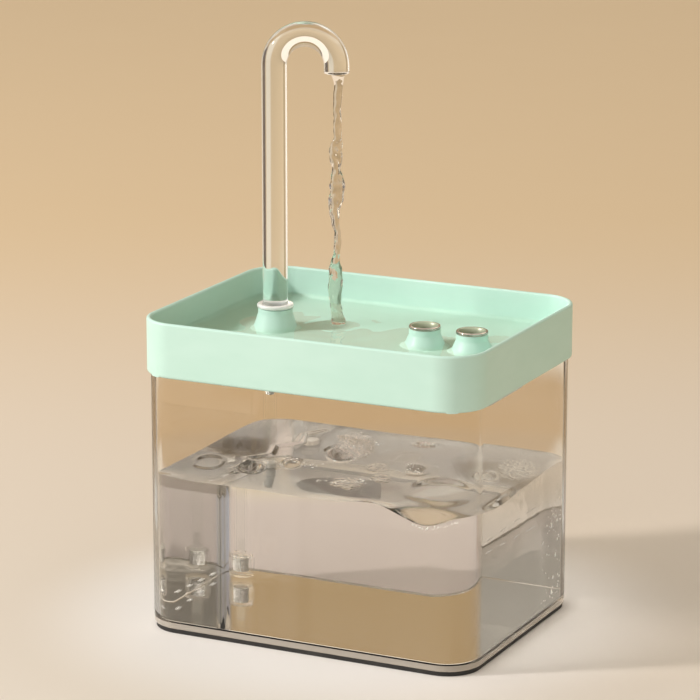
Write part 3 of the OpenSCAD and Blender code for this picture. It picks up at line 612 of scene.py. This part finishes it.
def in_foot(at, way, skin=1.5, level=0.8):
    """True for the outside of the tank's thick foot, and the ring beneath it that rests on the band."""
    x, y = abs(at.x), abs(at.y)
    corner = math.hypot(max(0, x - TANK_W / 2 + TANK_R), max(0, y - TANK_D / 2 + TANK_R)) - TANK_R
    edge = max(x - TANK_W / 2, y - TANK_D / 2, corner)
    return at.z < TANK_BASE_Z and (edge > -skin if abs(way.z) < level else way.z < 0 and edge > -FOOT_W)


# The foot's outside and the ring under it get the painted light of the milky foot
second_finish(tank, TANK_BASE, in_foot)


def foot_block(bm, inset, low, high):
    """A block that stands in from the tank's outside."""
    rounded_block(bm, TANK_W - 2 * inset, TANK_D - 2 * inset, TANK_R - inset, low, high, segments=20)


def foot_band(bm):
    foot_block(bm, FOOT_INSET, 0, TANK_FOOT_Z - FOOT_GAP)
    bevel(bm, edges_at(bm, 0), 0.35, 3)


foot = combine(shape(foot_band), [shape(foot_block, FOOT_INSET + FOOT_W, -1, 5)], "DIFFERENCE")
finish_piece(foot, "foot_band", "tank", RUBBER, ["foot_ring"])


# ---------------------------------------------------------------- tray
def tray_shell(bm):
    rounded_block(bm, TRAY_W, TRAY_D, TRAY_R, SKIRT_Z, RIM_Z, segments=28)
    hollow(bm, face_at(bm, RIM_Z, 1), TRAY_WALL, BASIN_Z)
    hollow(bm, face_at(bm, SKIRT_Z, -1), SKIRT_WALL, UNDER_Z)
    bevel(bm, edges_at(bm, BASIN_Z), BASIN_FILLET, 8)
    bevel(bm, edges_at(bm, RIM_Z), TRAY_WALL / 2 - 0.02, 5)
    side, front = TRAY_W / 2 - 1, TRAY_D / 2 - 1
    corner = math.hypot(TRAY_W / 2 - TRAY_R, TRAY_D / 2 - TRAY_R) + TRAY_R - 0.75
    outer = [e for e in edges_at(bm, SKIRT_Z) if abs(e.verts[0].co.x) > side
             or abs(e.verts[0].co.y) > front or Vector(e.verts[0].co[:2]).length > corner]
    bevel(bm, outer, SKIRT_EDGE, 4)


def standpipe(bm, top_r, height, x, neck, spread, foot=0.3, steps=18):
    """A bell-shaped standpipe whose neck flares out to the basin floor."""
    outline = [(0, BASIN_Z - 1), (0, BASIN_Z + height), (top_r - 0.5, BASIN_Z + height),
               (top_r - 0.15, BASIN_Z + height - 0.15), (top_r, BASIN_Z + height - 0.5)]
    for i in range(steps + 1):
        t = i / steps
        low = max(0.0, (t - 0.8) / 0.2)
        outline.append((top_r + spread * t ** 1.1 + foot * low ** 2,
                        BASIN_Z + (height - neck) * (1 - t)))
    outline.append((top_r + spread + foot, BASIN_Z - 1))
    turned(bm, outline)
    move(bm, bm.verts, x=x)


def elbow(bm):
    """The upright that feeds the spout, with a chamfer round its foot."""
    low, high, chamfer = PUMP_Z - FEED_R - 2, BASIN_Z - 1, 0.5
    turned(bm, [(0, low), (ELBOW_R - chamfer, low), (ELBOW_R, low + chamfer), (ELBOW_R, high), (0, high)])
    move(bm, bm.verts, x=SPOUT_X)


def elbow_barb(bm):
    """The barbed nipple towards the pump, on which the hose sits."""
    reach, neck = ELBOW_R + BARB_LEN, BARB_R - 0.55
    outline = [(0, 0), (BARB_R - 0.5, 0)]
    for k in range(3):
        z = 1.9 + 1.9 * k
        outline += [(BARB_R, z), (neck, z + 0.2)]
    outline += [(neck, reach), (0, reach)]
    turned(bm, outline, segments=64)
    bmesh.ops.rotate(bm, verts=bm.verts, cent=(0, 0, 0), matrix=Matrix.Rotation(math.radians(90), 3, "X"))
    move(bm, bm.verts, x=SPOUT_X, y=reach, z=PUMP_Z)


def filter_seat(bm):
    """The rim under the tray that the filter basket pushes onto."""
    rounded_block(bm, SEAT_W, SEAT_D, SEAT_R, UNDER_Z - SEAT_H, UNDER_Z + 0.5, segments=12, x=SEAT_X)
    hollow(bm, face_at(bm, UNDER_Z - SEAT_H, -1), SEAT_WALL, UNDER_Z - 0.01)


BORE_TOP = BASIN_Z + 20       # where the cuts from above end, clear of every standpipe
tray = combine(shape(tray_shell), [
    shape(standpipe, SPOUT_BOSS_R, SPOUT_BOSS_H, SPOUT_X, neck=2.2, spread=3.7),
    *[shape(standpipe, DRAIN_BOSS_R, DRAIN_BOSS_H, x, neck=2.8, spread=4.2) for x in DRAIN_XS],
    shape(elbow), shape(elbow_barb), shape(filter_seat)], "UNION")
tray = combine(tray, [
    *[shape(rod, DRAIN_HOLE_R, (x, 0, UNDER_Z - 1), (x, 0, BORE_TOP)) for x in DRAIN_XS],
    shape(rod, SOCKET_R, (SPOUT_X, 0, BASIN_Z + SOCKET_FLOOR), (SPOUT_X, 0, BORE_TOP)),
    shape(rod, FEED_R, (SPOUT_X, 0, PUMP_Z), (SPOUT_X, 0, BASIN_Z + 10), 48),
    shape(rod, FEED_R, (SPOUT_X, 0, PUMP_Z), (SPOUT_X, ELBOW_R + BARB_LEN + 1, PUMP_Z), 48)], "DIFFERENCE")
finish_piece(tray, "drinking_tray", "tray", MINT, ["tray"])


def drain_sleeve(bm, x):
    top = BASIN_Z + DRAIN_BOSS_H
    turned_ring(bm, [(5.55, top - 15.7), (6.45, top - 15.7), (6.45, top), (7.75, top), (7.9, top + 0.15),
                     (7.9, top + 1.05), (7.7, top + 1.35), (7.3, top + 1.5), (6.7, top + 1.45),
                     (6.3, top + 1.2), (5.95, top + 0.4), (5.7, top - 0.8), (5.55, top - 2.2)], x=x)


SLEEVE_BORE_R = 6.95     # faces of a sleeve within this radius are its bore
for side, x in zip(("inner", "outer"), DRAIN_XS):
    sleeve = shape(drain_sleeve, x)
    finish_piece(sleeve, f"sleeve_{side}", "tray", SLEEVE, [f"drain_sleeve_{side}"],
                 crease=60)
    # The bore's faces get the painted shade and painted reflection of the hole
    second_finish(sleeve, SLEEVE_BORE, lambda at, way: math.hypot(at.x - x, at.y) < SLEEVE_BORE_R)


# ---------------------------------------------------------------- spout
def collar(bm):
    z = BASIN_Z + SPOUT_BOSS_H + 0.3
    turned_ring(bm, [(6.3, z - 10.9), (7.45, z - 10.9), (7.45, z), (8.6, z), (8.95, z + 0.15),
                     (9.15, z + 0.55), (9.15, z + 1.3), (9.0, z + 1.68), (8.6, z + 1.9), (6.9, z + 1.9),
                     (6.45, z + 1.8), (6.3, z + 1.5)], x=SPOUT_X, segments=128)


finish_piece(shape(collar), "spout_ring", "spout_collar", SILICONE, ["spout_collar"],
             crease=60)


def bent_tube(bm, radius, segments=48, stretches=12):
    """A tube's skin up the leg, round the bend and down to the outlet. Returns its two end rings."""
    ring = bmesh.ops.create_circle(bm, segments=segments, radius=radius)["verts"]
    move(bm, ring, z=SPOUT_LOW)
    start = list({e for v in ring for e in v.link_edges})
    current = start
    for _ in range(stretches):
        verts, current = extend(bm, current)
        move(bm, verts, z=(SPOUT_BEND_Z - SPOUT_LOW) / stretches)
    made = bmesh.ops.spin(bm, geom=current, cent=(SPOUT_BEND, 0, SPOUT_BEND_Z), axis=(0, 1, 0),
                          angle=math.pi, steps=48, use_merge=False, use_duplicate=False)["geom_last"]
    verts, end = extend(bm, new_parts(made, bmesh.types.BMEdge))
    move(bm, verts, z=-SPOUT_TIP)
    return start, end


def spout_tube(bm):
    outer = bent_tube(bm, SPOUT_OUT_R)
    inner = bent_tube(bm, SPOUT_IN_R)
    for a, b in zip(outer, inner):
        bmesh.ops.bridge_loops(bm, edges=a + b)
    bmesh.ops.recalc_face_normals(bm, faces=bm.faces)
    ends = [e for e in bm.edges if len(e.link_faces) == 2 and e.calc_face_angle(0) > math.radians(60)]
    bevel(bm, ends, 0.35, 3)
    bmesh.ops.rotate(bm, verts=bm.verts, cent=(0, 0, 0), matrix=Matrix.Rotation(SPOUT_HEADING, 3, "Z"))
    move(bm, bm.verts, x=SPOUT_X)


def in_bore(at, way, level=0.98):
    """True for a face of the tube that looks inwards at its own axis."""
    turn = Matrix.Rotation(-SPOUT_HEADING, 3, "Z")
    at, way = turn @ (at - Vector((SPOUT_X, 0, 0))), turn @ way
    if at.z < SPOUT_BEND_Z:
        axis = Vector((0 if at.x < SPOUT_BEND else 2 * SPOUT_BEND, 0, at.z))
    else:
        out = Vector((at.x - SPOUT_BEND, 0, at.z - SPOUT_BEND_Z)).normalized() * SPOUT_BEND
        axis = Vector((SPOUT_BEND, 0, SPOUT_BEND_Z)) + out
    return (axis - at).length < (SPOUT_IN_R + SPOUT_OUT_R) / 2 and abs(way.z) < level


spout = finish_piece(shape(spout_tube), "clear_spout", "spout", TUBE_CLEAR, ["spout_tube"])
second_finish(spout, TUBE_BORE, in_bore)

# The falling stream: height, sideways shift, width and depth of each section, and its turn
STREAM = [
    (272.6, 0.2, 7.4, 7.4, 0), (271.0, 0.6, 6.8, 6.6, 0), (268.5, 0.9, 5.2, 5.4, 10),
    (265.5, 0.9, 4.2, 4.6, 15), (262.0, 0.5, 4.4, 4.6, 20), (254.0, 0.1, 4.0, 4.4, 40),
    (246.0, 0.3, 4.2, 4.6, 60), (240.0, 0.5, 4.4, 4.6, 70), (236.5, -0.4, 5.8, 4.8, 80),
    (232.5, -0.9, 6.8, 5.4, 95), (228.0, -0.5, 5.6, 5.0, 110), (225.0, -0.3, 3.9, 4.4, 120),
    (220.5, 0.0, 5.6, 4.8, 140), (215.5, 0.2, 7.2, 5.6, 150), (209.0, -0.5, 6.2, 5.2, 165),
    (203.0, -1.3, 5.0, 4.6, 180), (197.5, -0.6, 3.6, 4.2, 200), (192.5, 0.3, 3.2, 4.0, 220),
    (187.5, 0.5, 3.8, 4.2, 240), (182.5, 0.2, 3.3, 4.0, 250), (178.0, -0.6, 4.6, 4.6, 265),
    (173.0, -0.5, 7.0, 5.8, 280), (168.5, -0.1, 7.2, 5.6, 300), (164.0, -0.6, 6.8, 5.6, 320),
    (159.5, -0.8, 6.2, 5.2, 335), (155.5, -0.7, 4.8, 4.6, 350), (151.5, 0.2, 5.6, 5.0, 365),
    (148.0, 0.7, 6.0, 5.4, 380), (145.6, 0.6, 7.4, 7.0, 390), (144.1, 0.5, 11.0, 10.6, 400)]
CALM_Z, CALM_LENGTH, RIDGE_LENGTH = 268, 20, 3.4


def stream_sections(rise):
    """The stream's sections at every small step down: shift, width, depth, turn and height."""
    for (z0, *upper), (z1, *lower) in zip(STREAM, STREAM[1:]):
        steps = max(1, round((z0 - z1) / rise))
        for k in range(steps):
            t = k / steps
            t = t * t * (3 - 2 * t)
            yield (*(a + (b - a) * t for a, b in zip(upper, lower)), z0 + (z1 - z0) * k / steps)


def falling_stream(bm, segments=28, rise=1.1):
    """A twisting rope of water with three lobes, broken by ridges below its smooth start."""
    tip = Vector((MOUTH_X, MOUTH_Y))
    across = Vector((math.cos(ACROSS), math.sin(ACROSS)))
    verts = bmesh.ops.create_circle(bm, cap_ends=True, segments=segments, radius=1)["verts"]
    current = list({e for v in verts for e in v.link_edges})
    verts = list(bm.verts)
    for number, (shift, width, depth, turn, z) in enumerate(stream_sections(rise)):
        if number:
            verts, current = extend(bm, current)
        phase, side = math.radians(turn), tip + across * shift
        calm = min(1.0, max(0.0, (CALM_Z - z) / CALM_LENGTH))
        for i, v in enumerate(verts):
            angle = 2 * math.pi * i / segments
            ridge = noise.noise(Vector((2.1 * math.cos(angle), 2.1 * math.sin(angle), z / RIDGE_LENGTH)))
            lobes = 0.10 * math.sin(3 * angle + phase) + 0.07 * math.sin(2 * angle - 1.7 * phase)
            swollen = 1 + calm * (lobes + 0.30 * ridge)
            x, y = width / 2 * swollen * math.cos(angle), depth / 2 * swollen * math.sin(angle)
            v.co = (side.x + x * across.x - y * across.y, side.y + x * across.y + y * across.x, z)
    bmesh.ops.edgeloop_fill(bm, edges=current)


stream = shape(falling_stream)
smoother = stream.modifiers.new("round", "SUBSURF")
smoother.levels = smoother.render_levels = 1
finish_piece(stream, "falling_stream", "spout", STREAM_WATER, crease=180, weighted=False)


# ---------------------------------------------------------------- water
def water_body(bm, width, depth, radius, bottom, fillet, step, surface):
    """A body of water with round upright corners whose top follows a wave height."""
    nx, ny = round(width / step), round(depth / step)
    made = bmesh.ops.create_grid(bm, x_segments=nx, y_segments=ny, size=0.5)["verts"]
    bmesh.ops.scale(bm, vec=(width, depth, 1), verts=made)
    for v in made:
        a, b = abs(v.co.x) - (width / 2 - radius), abs(v.co.y) - (depth / 2 - radius)
        if a > 0 and b > 0:
            u, w = a / radius, b / radius
            a, b = radius * u * math.sqrt(1 - w * w / 2), radius * w * math.sqrt(1 - u * u / 2)
            v.co.x = math.copysign(width / 2 - radius + a, v.co.x)
            v.co.y = math.copysign(depth / 2 - radius + b, v.co.y)
        v.co.z = surface(v.co.x, v.co.y)
    low, lowest = extend(bm, [e for e in bm.edges if len(e.link_faces) == 1])
    for v in low:
        v.co.z = bottom
    bmesh.ops.edgeloop_fill(bm, edges=lowest)
    bevel(bm, edges_at(bm, bottom), fillet, 6)


def ring_wave(x, y, cx, cy, length, height, reach):
    """Round ripples that die away from where something met the water."""
    d = math.hypot(x - cx, y - cy)
    return height * math.cos(2 * math.pi * d / length) * math.exp(-d / reach)


def swell(x, y, cx, cy, rx, ry, height):
    """One smooth mound or hollow."""
    u, w = (x - cx) / rx, (y - cy) / ry
    return height * math.exp(-(u * u + w * w))


# Rises and dips of the wave along the front wall: middle, half length and height
WAVE = [(36, 10, 3.2), (65, 13, -5.4), (18, 12, 0.8), (-80, 12, 1.4), (90, 6, -1.2)]
# Rings that stand on the tank's water: middle, half sizes, the ring's height and width, and the tilt
# of the plate inside it
RINGS = [(-72.3, -25.4, 6.8, 11.0, 0.30, 1.3, -0.05), (-48.4, -25.8, 5.4, 9.0, 0.85, 1.3, 0.10),
         (-33.3, -10.6, 4.1, 7.4, -0.40, 1.3, 0.10), (54.7, -24, 14.5, 23, 0.20, 3.2, -0.060),
         (63, 12, 3.4, 7.4, -0.22, 1.5, 0.04), (11.6, 49.5, 4.4, 5.4, 0.4, 1.2, -0.10),
         (-19, 16, 7.4, 14, -0.45, 1.8, 0.07), (27, 6, 6, 10, 0.10, 2.4, 0.03)]
# A ridge that winds from front to back over the left part of the water
RIBBON = [(-52, -38), (-56, -30), (-53, -21), (-58, -10), (-50, 0), (-54, 14), (-47, 26), (-52, 40),
          (-46, 52)]
RIBBON_END_X = -35       # the ridge is drawn to the left of this only


def ring(x, y, cx, cy, rx, ry, height, width, tilt):
    """One oval ridge and the tilted plate inside it. Its first half size lies along ACROSS."""
    c, s = math.cos(ACROSS), math.sin(ACROSS)
    u, w = ((x - cx) * c + (y - cy) * s) / rx, ((y - cy) * c - (x - cx) * s) / ry
    q = math.hypot(u, w)
    if q > 2:
        return 0.0
    inside = 1 / (1 + math.exp((q - 0.9) * 14))
    return height * math.exp(-((q - 1) * (rx + ry) / 2 / width) ** 2) + tilt * w * ry * inside


def ribbon(x, y, height=0.8, width=1.5):
    """The winding ridge's height, from the distance to its nearest stretch."""
    nearest = 99.0
    for (x0, y0), (x1, y1) in zip(RIBBON, RIBBON[1:]):
        t = ((x - x0) * (x1 - x0) + (y - y0) * (y1 - y0)) / ((x1 - x0) ** 2 + (y1 - y0) ** 2)
        t = min(1.0, max(0.0, t))
        nearest = min(nearest, math.hypot(x - x0 - t * (x1 - x0), y - y0 - t * (y1 - y0)))
    return height * math.exp(-(nearest / width) ** 2)


def tank_surface(x, y):
    """Nearly level, with slow swells, rings, a ridge and a wave that climbs and dips at the front wall."""
    from_front = y + TANK_D / 2 - TANK_WALL
    px = x + 2.2 * noise.noise(Vector((x / 16, y / 22, 3.1)))
    py = y + 3.6 * noise.noise(Vector((x / 18, y / 20, 7.7)))
    z = TANK_WATER_Z + 1.7 * math.exp(-from_front / 16) - 1.0 * math.exp(-((y - 68) / 20) ** 2)
    z += 0.28 * math.sin(0.052 * x - 0.03 * y + 0.6) + 0.22 * math.sin(0.07 * y + 0.035 * x + 2.1)
    wave = sum(swell(x, 0, middle, 0, reach, 1, height) for middle, reach, height in WAVE)
    z += wave * math.exp(-(from_front / 8) ** 2)
    z += swell(x, y, 87, -28, 4, 20, -2.4) + swell(x, y, 87, 40, 5, 22, 1.0)
    z += sum(ring(px, py, *row) for row in RINGS) + (ribbon(px, py) if px < RIBBON_END_X else 0)
    return z


def tray_surface(x, y):
    """Slow ripples, and rings around the place where the stream falls in."""
    z = TRAY_WATER_Z + ring_wave(x, y, MOUTH_X, MOUTH_Y, length=13, height=0.22, reach=16)
    z += 0.12 * math.sin(0.11 * x + 0.19 * y + 0.4) + 0.08 * math.sin(0.17 * x - 0.13 * y + 2.0)
    return z


tank_water = shape(water_body, TANK_W - 2 * TANK_WALL - 2 * CLEAR, TANK_D - 2 * TANK_WALL - 2 * CLEAR,
                   TANK_R - TANK_WALL - CLEAR, TANK_FLOOR_Z + CLEAR, TANK_FILLET, 0.7, tank_surface)
finish_piece(tank_water, "tank_water", "tank", TANK_WATER)

tray_water = shape(water_body, TRAY_W - 2 * TRAY_WALL + 2 * SOAK, TRAY_D - 2 * TRAY_WALL + 2 * SOAK,
                   TRAY_R - TRAY_WALL + SOAK, BASIN_Z - SOAK, 4.0, 1.6, tray_surface)
standpipes = [(SPOUT_X, SPOUT_BOSS_R - 0.2), *[(x, DRAIN_BOSS_R - 0.4) for x in DRAIN_XS]]
tray_water = combine(tray_water, [shape(rod, r, (x, 0, BASIN_Z - 5), (x, 0, BASIN_Z + 15))
                                  for x, r in standpipes], "DIFFERENCE")
finish_piece(tray_water, "tray_water", "tray", TRAY_WATER)


# Long beads of air in the left seam: front end, rear end and height
BEADS = [(-44, -31, 10.6), (-24, -16, 9.9), (-6, 1, 9.3), (11, 19, 8.7), (29, 38, 8.1)]
# Lines of froth on the tank's water, from one place to another
FROTH = [((-28.3, 24.3), (-8, 43.5)), ((-42, 0), (-22.5, -14.2)), ((-22.5, -14.2), (-6, 22)),
         ((-8.5, -33), (5.5, -29.5)), ((8, -31), (18, -19)), ((21, 12), (31, 2)), ((6, 48), (19, 52))]
# Heights at which specks gather on the right wall: middle and spread
CLUSTERS = [(54, 7), (38, 9), (12, 6), (14, 7)]
WALL_SPECKS, WAVE_SPECKS, FROTH_SPECKS = 80, 26, 24
SPECK_LOW, SPECK_HIGH = 7, 70


def air_bubbles(bm):
    """Beads along the left seam, specks on the right wall and along the front wave, and froth where the
    surface is broken."""
    pick = random.Random(11)
    left, right, front = -TANK_W / 2 + TANK_WALL, TANK_W / 2 - TANK_WALL, -TANK_D / 2 + TANK_WALL

    def bead(x, y, z, rx, ry, rz):
        verts = bmesh.ops.create_icosphere(bm, subdivisions=2, radius=1)["verts"]
        bmesh.ops.scale(bm, vec=(rx, ry, rz), verts=verts)
        move(bm, verts, x=x, y=y, z=z)

    for y0, y1, z in BEADS:
        bead(left + 0.6, (y0 + y1) / 2, z, 0.35, (y1 - y0) / 2, 0.42)
    for _ in range(WALL_SPECKS):
        y = 51 - 24 * pick.random() ** 1.6
        z = pick.choice([pick.gauss(*cluster) for cluster in CLUSTERS])
        if SPECK_LOW < z < SPECK_HIGH:
            size = 0.22 + 0.65 * pick.random() ** 3
            bead(right - 0.9, y, z, 0.3, size, size * pick.uniform(0.8, 1.8))
    for _ in range(WAVE_SPECKS):
        x = pick.uniform(58, 84)
        size = pick.uniform(0.18, 0.4)
        bead(x, front + 0.8, tank_surface(x, -64) - pick.uniform(0.8, 2.4), size, 0.2, size)
    for (x0, y0), (x1, y1) in FROTH:
        for _ in range(FROTH_SPECKS):
            t = pick.random()
            x, y = x0 + (x1 - x0) * t + pick.gauss(0, 1.3), y0 + (y1 - y0) * t + pick.gauss(0, 2.2)
            size = 0.13 + 0.3 * pick.random() ** 2
            bead(x, y, tank_surface(x, y) + 0.05, size * pick.uniform(1, 2.2), size, 0.4 * size)


finish_piece(shape(air_bubbles), "air_bubbles", "tank", AIR_PAINTED_GLINTS, crease=180, weighted=False)


# ---------------------------------------------------------------- carried-over pieces
def softened(node, body, material, width=0.25, crease=40):
    """A copy of a solid with its edges broken, which stands for it."""
    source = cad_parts[node].data
    obj = bpy.data.objects.new(node, bpy.data.meshes.new(node))
    bpy.context.scene.collection.objects.link(obj)
    bm = bmesh.new()
    bm.from_mesh(source)
    bmesh.ops.scale(bm, vec=(1 / MM,) * 3, verts=bm.verts)
    bmesh.ops.remove_doubles(bm, verts=bm.verts, dist=1e-3)
    bmesh.ops.dissolve_limit(bm, angle_limit=math.radians(1), verts=bm.verts, edges=bm.edges)
    edges = [e for e in bm.edges if len(e.link_faces) == 2 and e.calc_face_angle(0) > math.radians(crease)]
    bevel(bm, edges, width, 2)
    bm.to_mesh(obj.data)
    bm.free()
    return finish_piece(obj, f"{node}_piece", body, material, [node])


for body, material, slot, nodes in (
        ("tray", HOSE_CLEAR, "clear_hose", ("feed_hose", "suction_tube")),
        ("tray", WHITE, "white_plastic", ("pump_housing", "pump_rear_cap", "volute_cover", "inlet_cap")),
        ("tray", RUBBER, "dark_rubber", ("suction_feet", "cord_gland")),
        ("tray", STAINLESS, "screw_steel", ("pump_screws",)),
        ("tray", STRAINER_CLEAR, "clear_strainer", ("strainer", "strainer_base")),
        ("flow_ring", STRAINER_CLEAR, "clear_strainer", ("flow_ring",)),
        ("filter", WHITE, "white_plastic", ("filter_basket", "filter_lid"))):
    for node in nodes:
        softened(node, body, material)

for node, material in (("stator_core", STEEL_CORE), ("stator_coils", WIRE), ("drive_board", BOARD),
                       ("rotor_magnet", MAGNET), ("impeller", WHITE), ("rotor_shaft", CERAMIC),
                       ("rear_bush", CERAMIC), ("front_bush", CERAMIC), ("chamber_seal", RUBBER),
                       ("filter_carbon", CARBON), ("filter_cotton", FELT), ("intake_sponge", FOAM_PAINTED_GLOW)):
    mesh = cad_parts[node].data
    mesh.materials.clear()
    mesh.materials.append(material)


# ---------------------------------------------------------------- stage and light
def pale_floor():
    """A pale sweep with painted light: paler in front and deeper and warmer towards the back, like a lamp's
    falloff, and a painted pool of light close round the tank. Clear pieces see it through themselves, so for
    them it holds painted patches of shade and light.
    """
    f = Finish("pale_floor")
    depth, reach = f.along(f.place, (-0.4376, 0.8992, 0)), f.length(f.place)
    # Painted light: paler in front, deeper and warmer towards the back, as if lit by a near lamp
    near = f.blend(f.between(depth, -0.42, 0.22), srgb(231, 223, 211), srgb(224, 211, 194))
    # A painted pool of light close round the tank
    near = f.blend(f.between(reach, 0.08, 0.18), srgb(253, 250, 246), near)
    painted_falloff_floor = f.blend(f.between(depth, 0.15, 1.0), near, srgb(222, 197, 160))
    way = f.node("ShaderNodeVectorMath", {"operation": "NORMALIZE"}, {0: f.place})
    outer = f.between(reach, 0.46, 0.56)
    middle = f.between(reach, 0.24, 0.29) * (1 - outer)
    close = 1 - f.between(reach, 0.22, 0.26)
    ends = 1 - f.between(reach, 0.27, 0.32)
    painted_through_view = painted_falloff_floor
    # Painted patches of shade and light that only clear pieces see: heading, half angles of the full and of
    # the fading paint, where along the floor, and colour
    for heading, inner, edge, share, paint in (
            (118, 22, 26, middle, (0.53, 0.38, 0.23, 1)),
            (108, 30, 38, close, (0.665, 0.57, 0.53, 1)),
            (8, 46, 54, close, (0.60, 0.53, 0.46, 1)),
            (72, 8, 11, f.between(reach, 0.17, 0.19) * ends, (1.0, 0.99, 0.95, 1)),
            (160, 9, 13, f.between(reach, 0.20, 0.22) * ends, (1.0, 0.99, 0.95, 1)),
            (118, 42, 45, f.between(reach, 0.33, 0.37) * (1 - outer), (0.55, 0.375, 0.20, 1)),
            (98, 5, 12, outer, (0.95, 0.86, 0.72, 1)),
            (72, 9, 15, outer, (0.05, 0.02, 0.012, 1)),
            (40, 14, 20, outer, (1.0, 0.96, 0.90, 1)),
            (160, 4, 8, outer, (0.42, 0.30, 0.17, 1)),
            (188, 14, 20, outer, (1.0, 0.98, 0.92, 1))):
        inside = f.between(f.facing(way, heading), math.cos(math.radians(edge)),
                           math.cos(math.radians(inner)))
        painted_through_view = f.blend(inside * share, painted_through_view, paint)
    through = f.node("ShaderNodeLightPath", output="Is Transmission Ray")
    f.set("Base Color", f.blend(through, painted_falloff_floor, painted_through_view))
    f.set("Roughness", 0.55 + 0.1 * f.noise(8, 2))
    f.shader.inputs["Specular IOR Level"].default_value = 0.15
    return f.material


def floor_disc(bm):
    bmesh.ops.create_circle(bm, cap_ends=True, segments=96, radius=9)


floor = shape(floor_disc)
floor.name = "floor"
floor.data.materials.append(pale_floor())


AIM_Z = 0.09             # the height on the object, in metres, that the lamp points at


def lamp(name, size, power, colour, heading, rise, distance):
    """A round lamp in a direction seen from the object, in degrees from +X and above the floor."""
    h, e = math.radians(heading), math.radians(rise)
    place = (distance * math.cos(h) * math.cos(e), distance * math.sin(h) * math.cos(e),
             distance * math.sin(e) + AIM_Z)
    data = bpy.data.lights.new(name, "AREA")
    data.shape, data.size = "DISK", size
    data.energy, data.color = power, colour
    obj = bpy.data.objects.new(name, data)
    obj.location = place
    obj.rotation_euler = (Vector(place) - Vector((0, 0, AIM_Z))).to_track_quat("Z", "Y").to_euler()
    bpy.context.scene.collection.objects.link(obj)


lamp("key", size=0.32, power=60, colour=(1.0, 0.94, 0.90), heading=216, rise=29, distance=3.0)


def studio_light():
    """A pale room: bright and neutral in front, warmer and dimmer behind the object's right side."""
    world = bpy.data.worlds.new("studio")
    bpy.context.scene.world = world
    world.use_nodes = True
    n = Nodes(world.node_tree)
    way = n.node("ShaderNodeTexCoord", output="Generated")
    up = n.node("ShaderNodeSeparateXYZ", {}, {0: way}, output="Z")
    soft = n.blend(n.between(n.facing(way, 35), -0.3, 0.8), (0.84, 0.82, 0.81, 1), (0.58, 0.41, 0.25, 1))
    soft = n.blend(n.between(up, 0.3, 0.95), soft, (0.60, 0.58, 0.54, 1))
    mirrored = n.blend(n.between(n.facing(way, 85), -0.2, 0.5), (0.95, 0.93, 0.88, 1), (0.50, 0.41, 0.29, 1))
    mirrored = n.blend(n.between(n.facing(way, 58), 0.84, 0.97), mirrored, (0.20, 0.18, 0.15, 1))
    mirrored = n.blend(n.between(up, 0.35, 0.85), mirrored, (0.74, 0.72, 0.68, 1))
    window = n.between(up, 0.46, 0.54) - n.between(up, 0.74, 0.84)
    mirrored = n.blend(window, mirrored, (2.0, 1.9, 1.65, 1))
    behind = n.between(n.facing(way, 116), -0.1, 0.6)
    through = n.blend(behind, (0.50, 0.43, 0.38, 1), (1.22, 1.04, 0.86, 1))
    high = n.blend(behind, (0.40, 0.36, 0.305, 1), (0.42, 0.275, 0.135, 1))
    high = n.blend(n.between(n.facing(way, 64), 0.80, 0.93), high, (0.19, 0.155, 0.115, 1))
    high = n.blend(n.between(up, 0.39, 0.45), high, (0.62, 0.46, 0.31, 1))
    through = n.blend(n.between(up, 0.29, 0.315), through, high)
    through = n.blend(n.between(n.facing(way, 314), 0.80, 0.92), through, (0.46, 0.43, 0.45, 1))
    colour = n.blend(n.node("ShaderNodeLightPath", output="Is Glossy Ray"), soft, mirrored)
    colour = n.blend(n.node("ShaderNodeLightPath", output="Is Transmission Ray"), colour, through)
    colour = n.blend(n.node("ShaderNodeLightPath", output="Is Camera Ray"), colour, (0.80, 0.74, 0.66, 1))
    world.node_tree.links.new(colour.socket, world.node_tree.nodes["Background"].inputs["Color"])


studio_light()
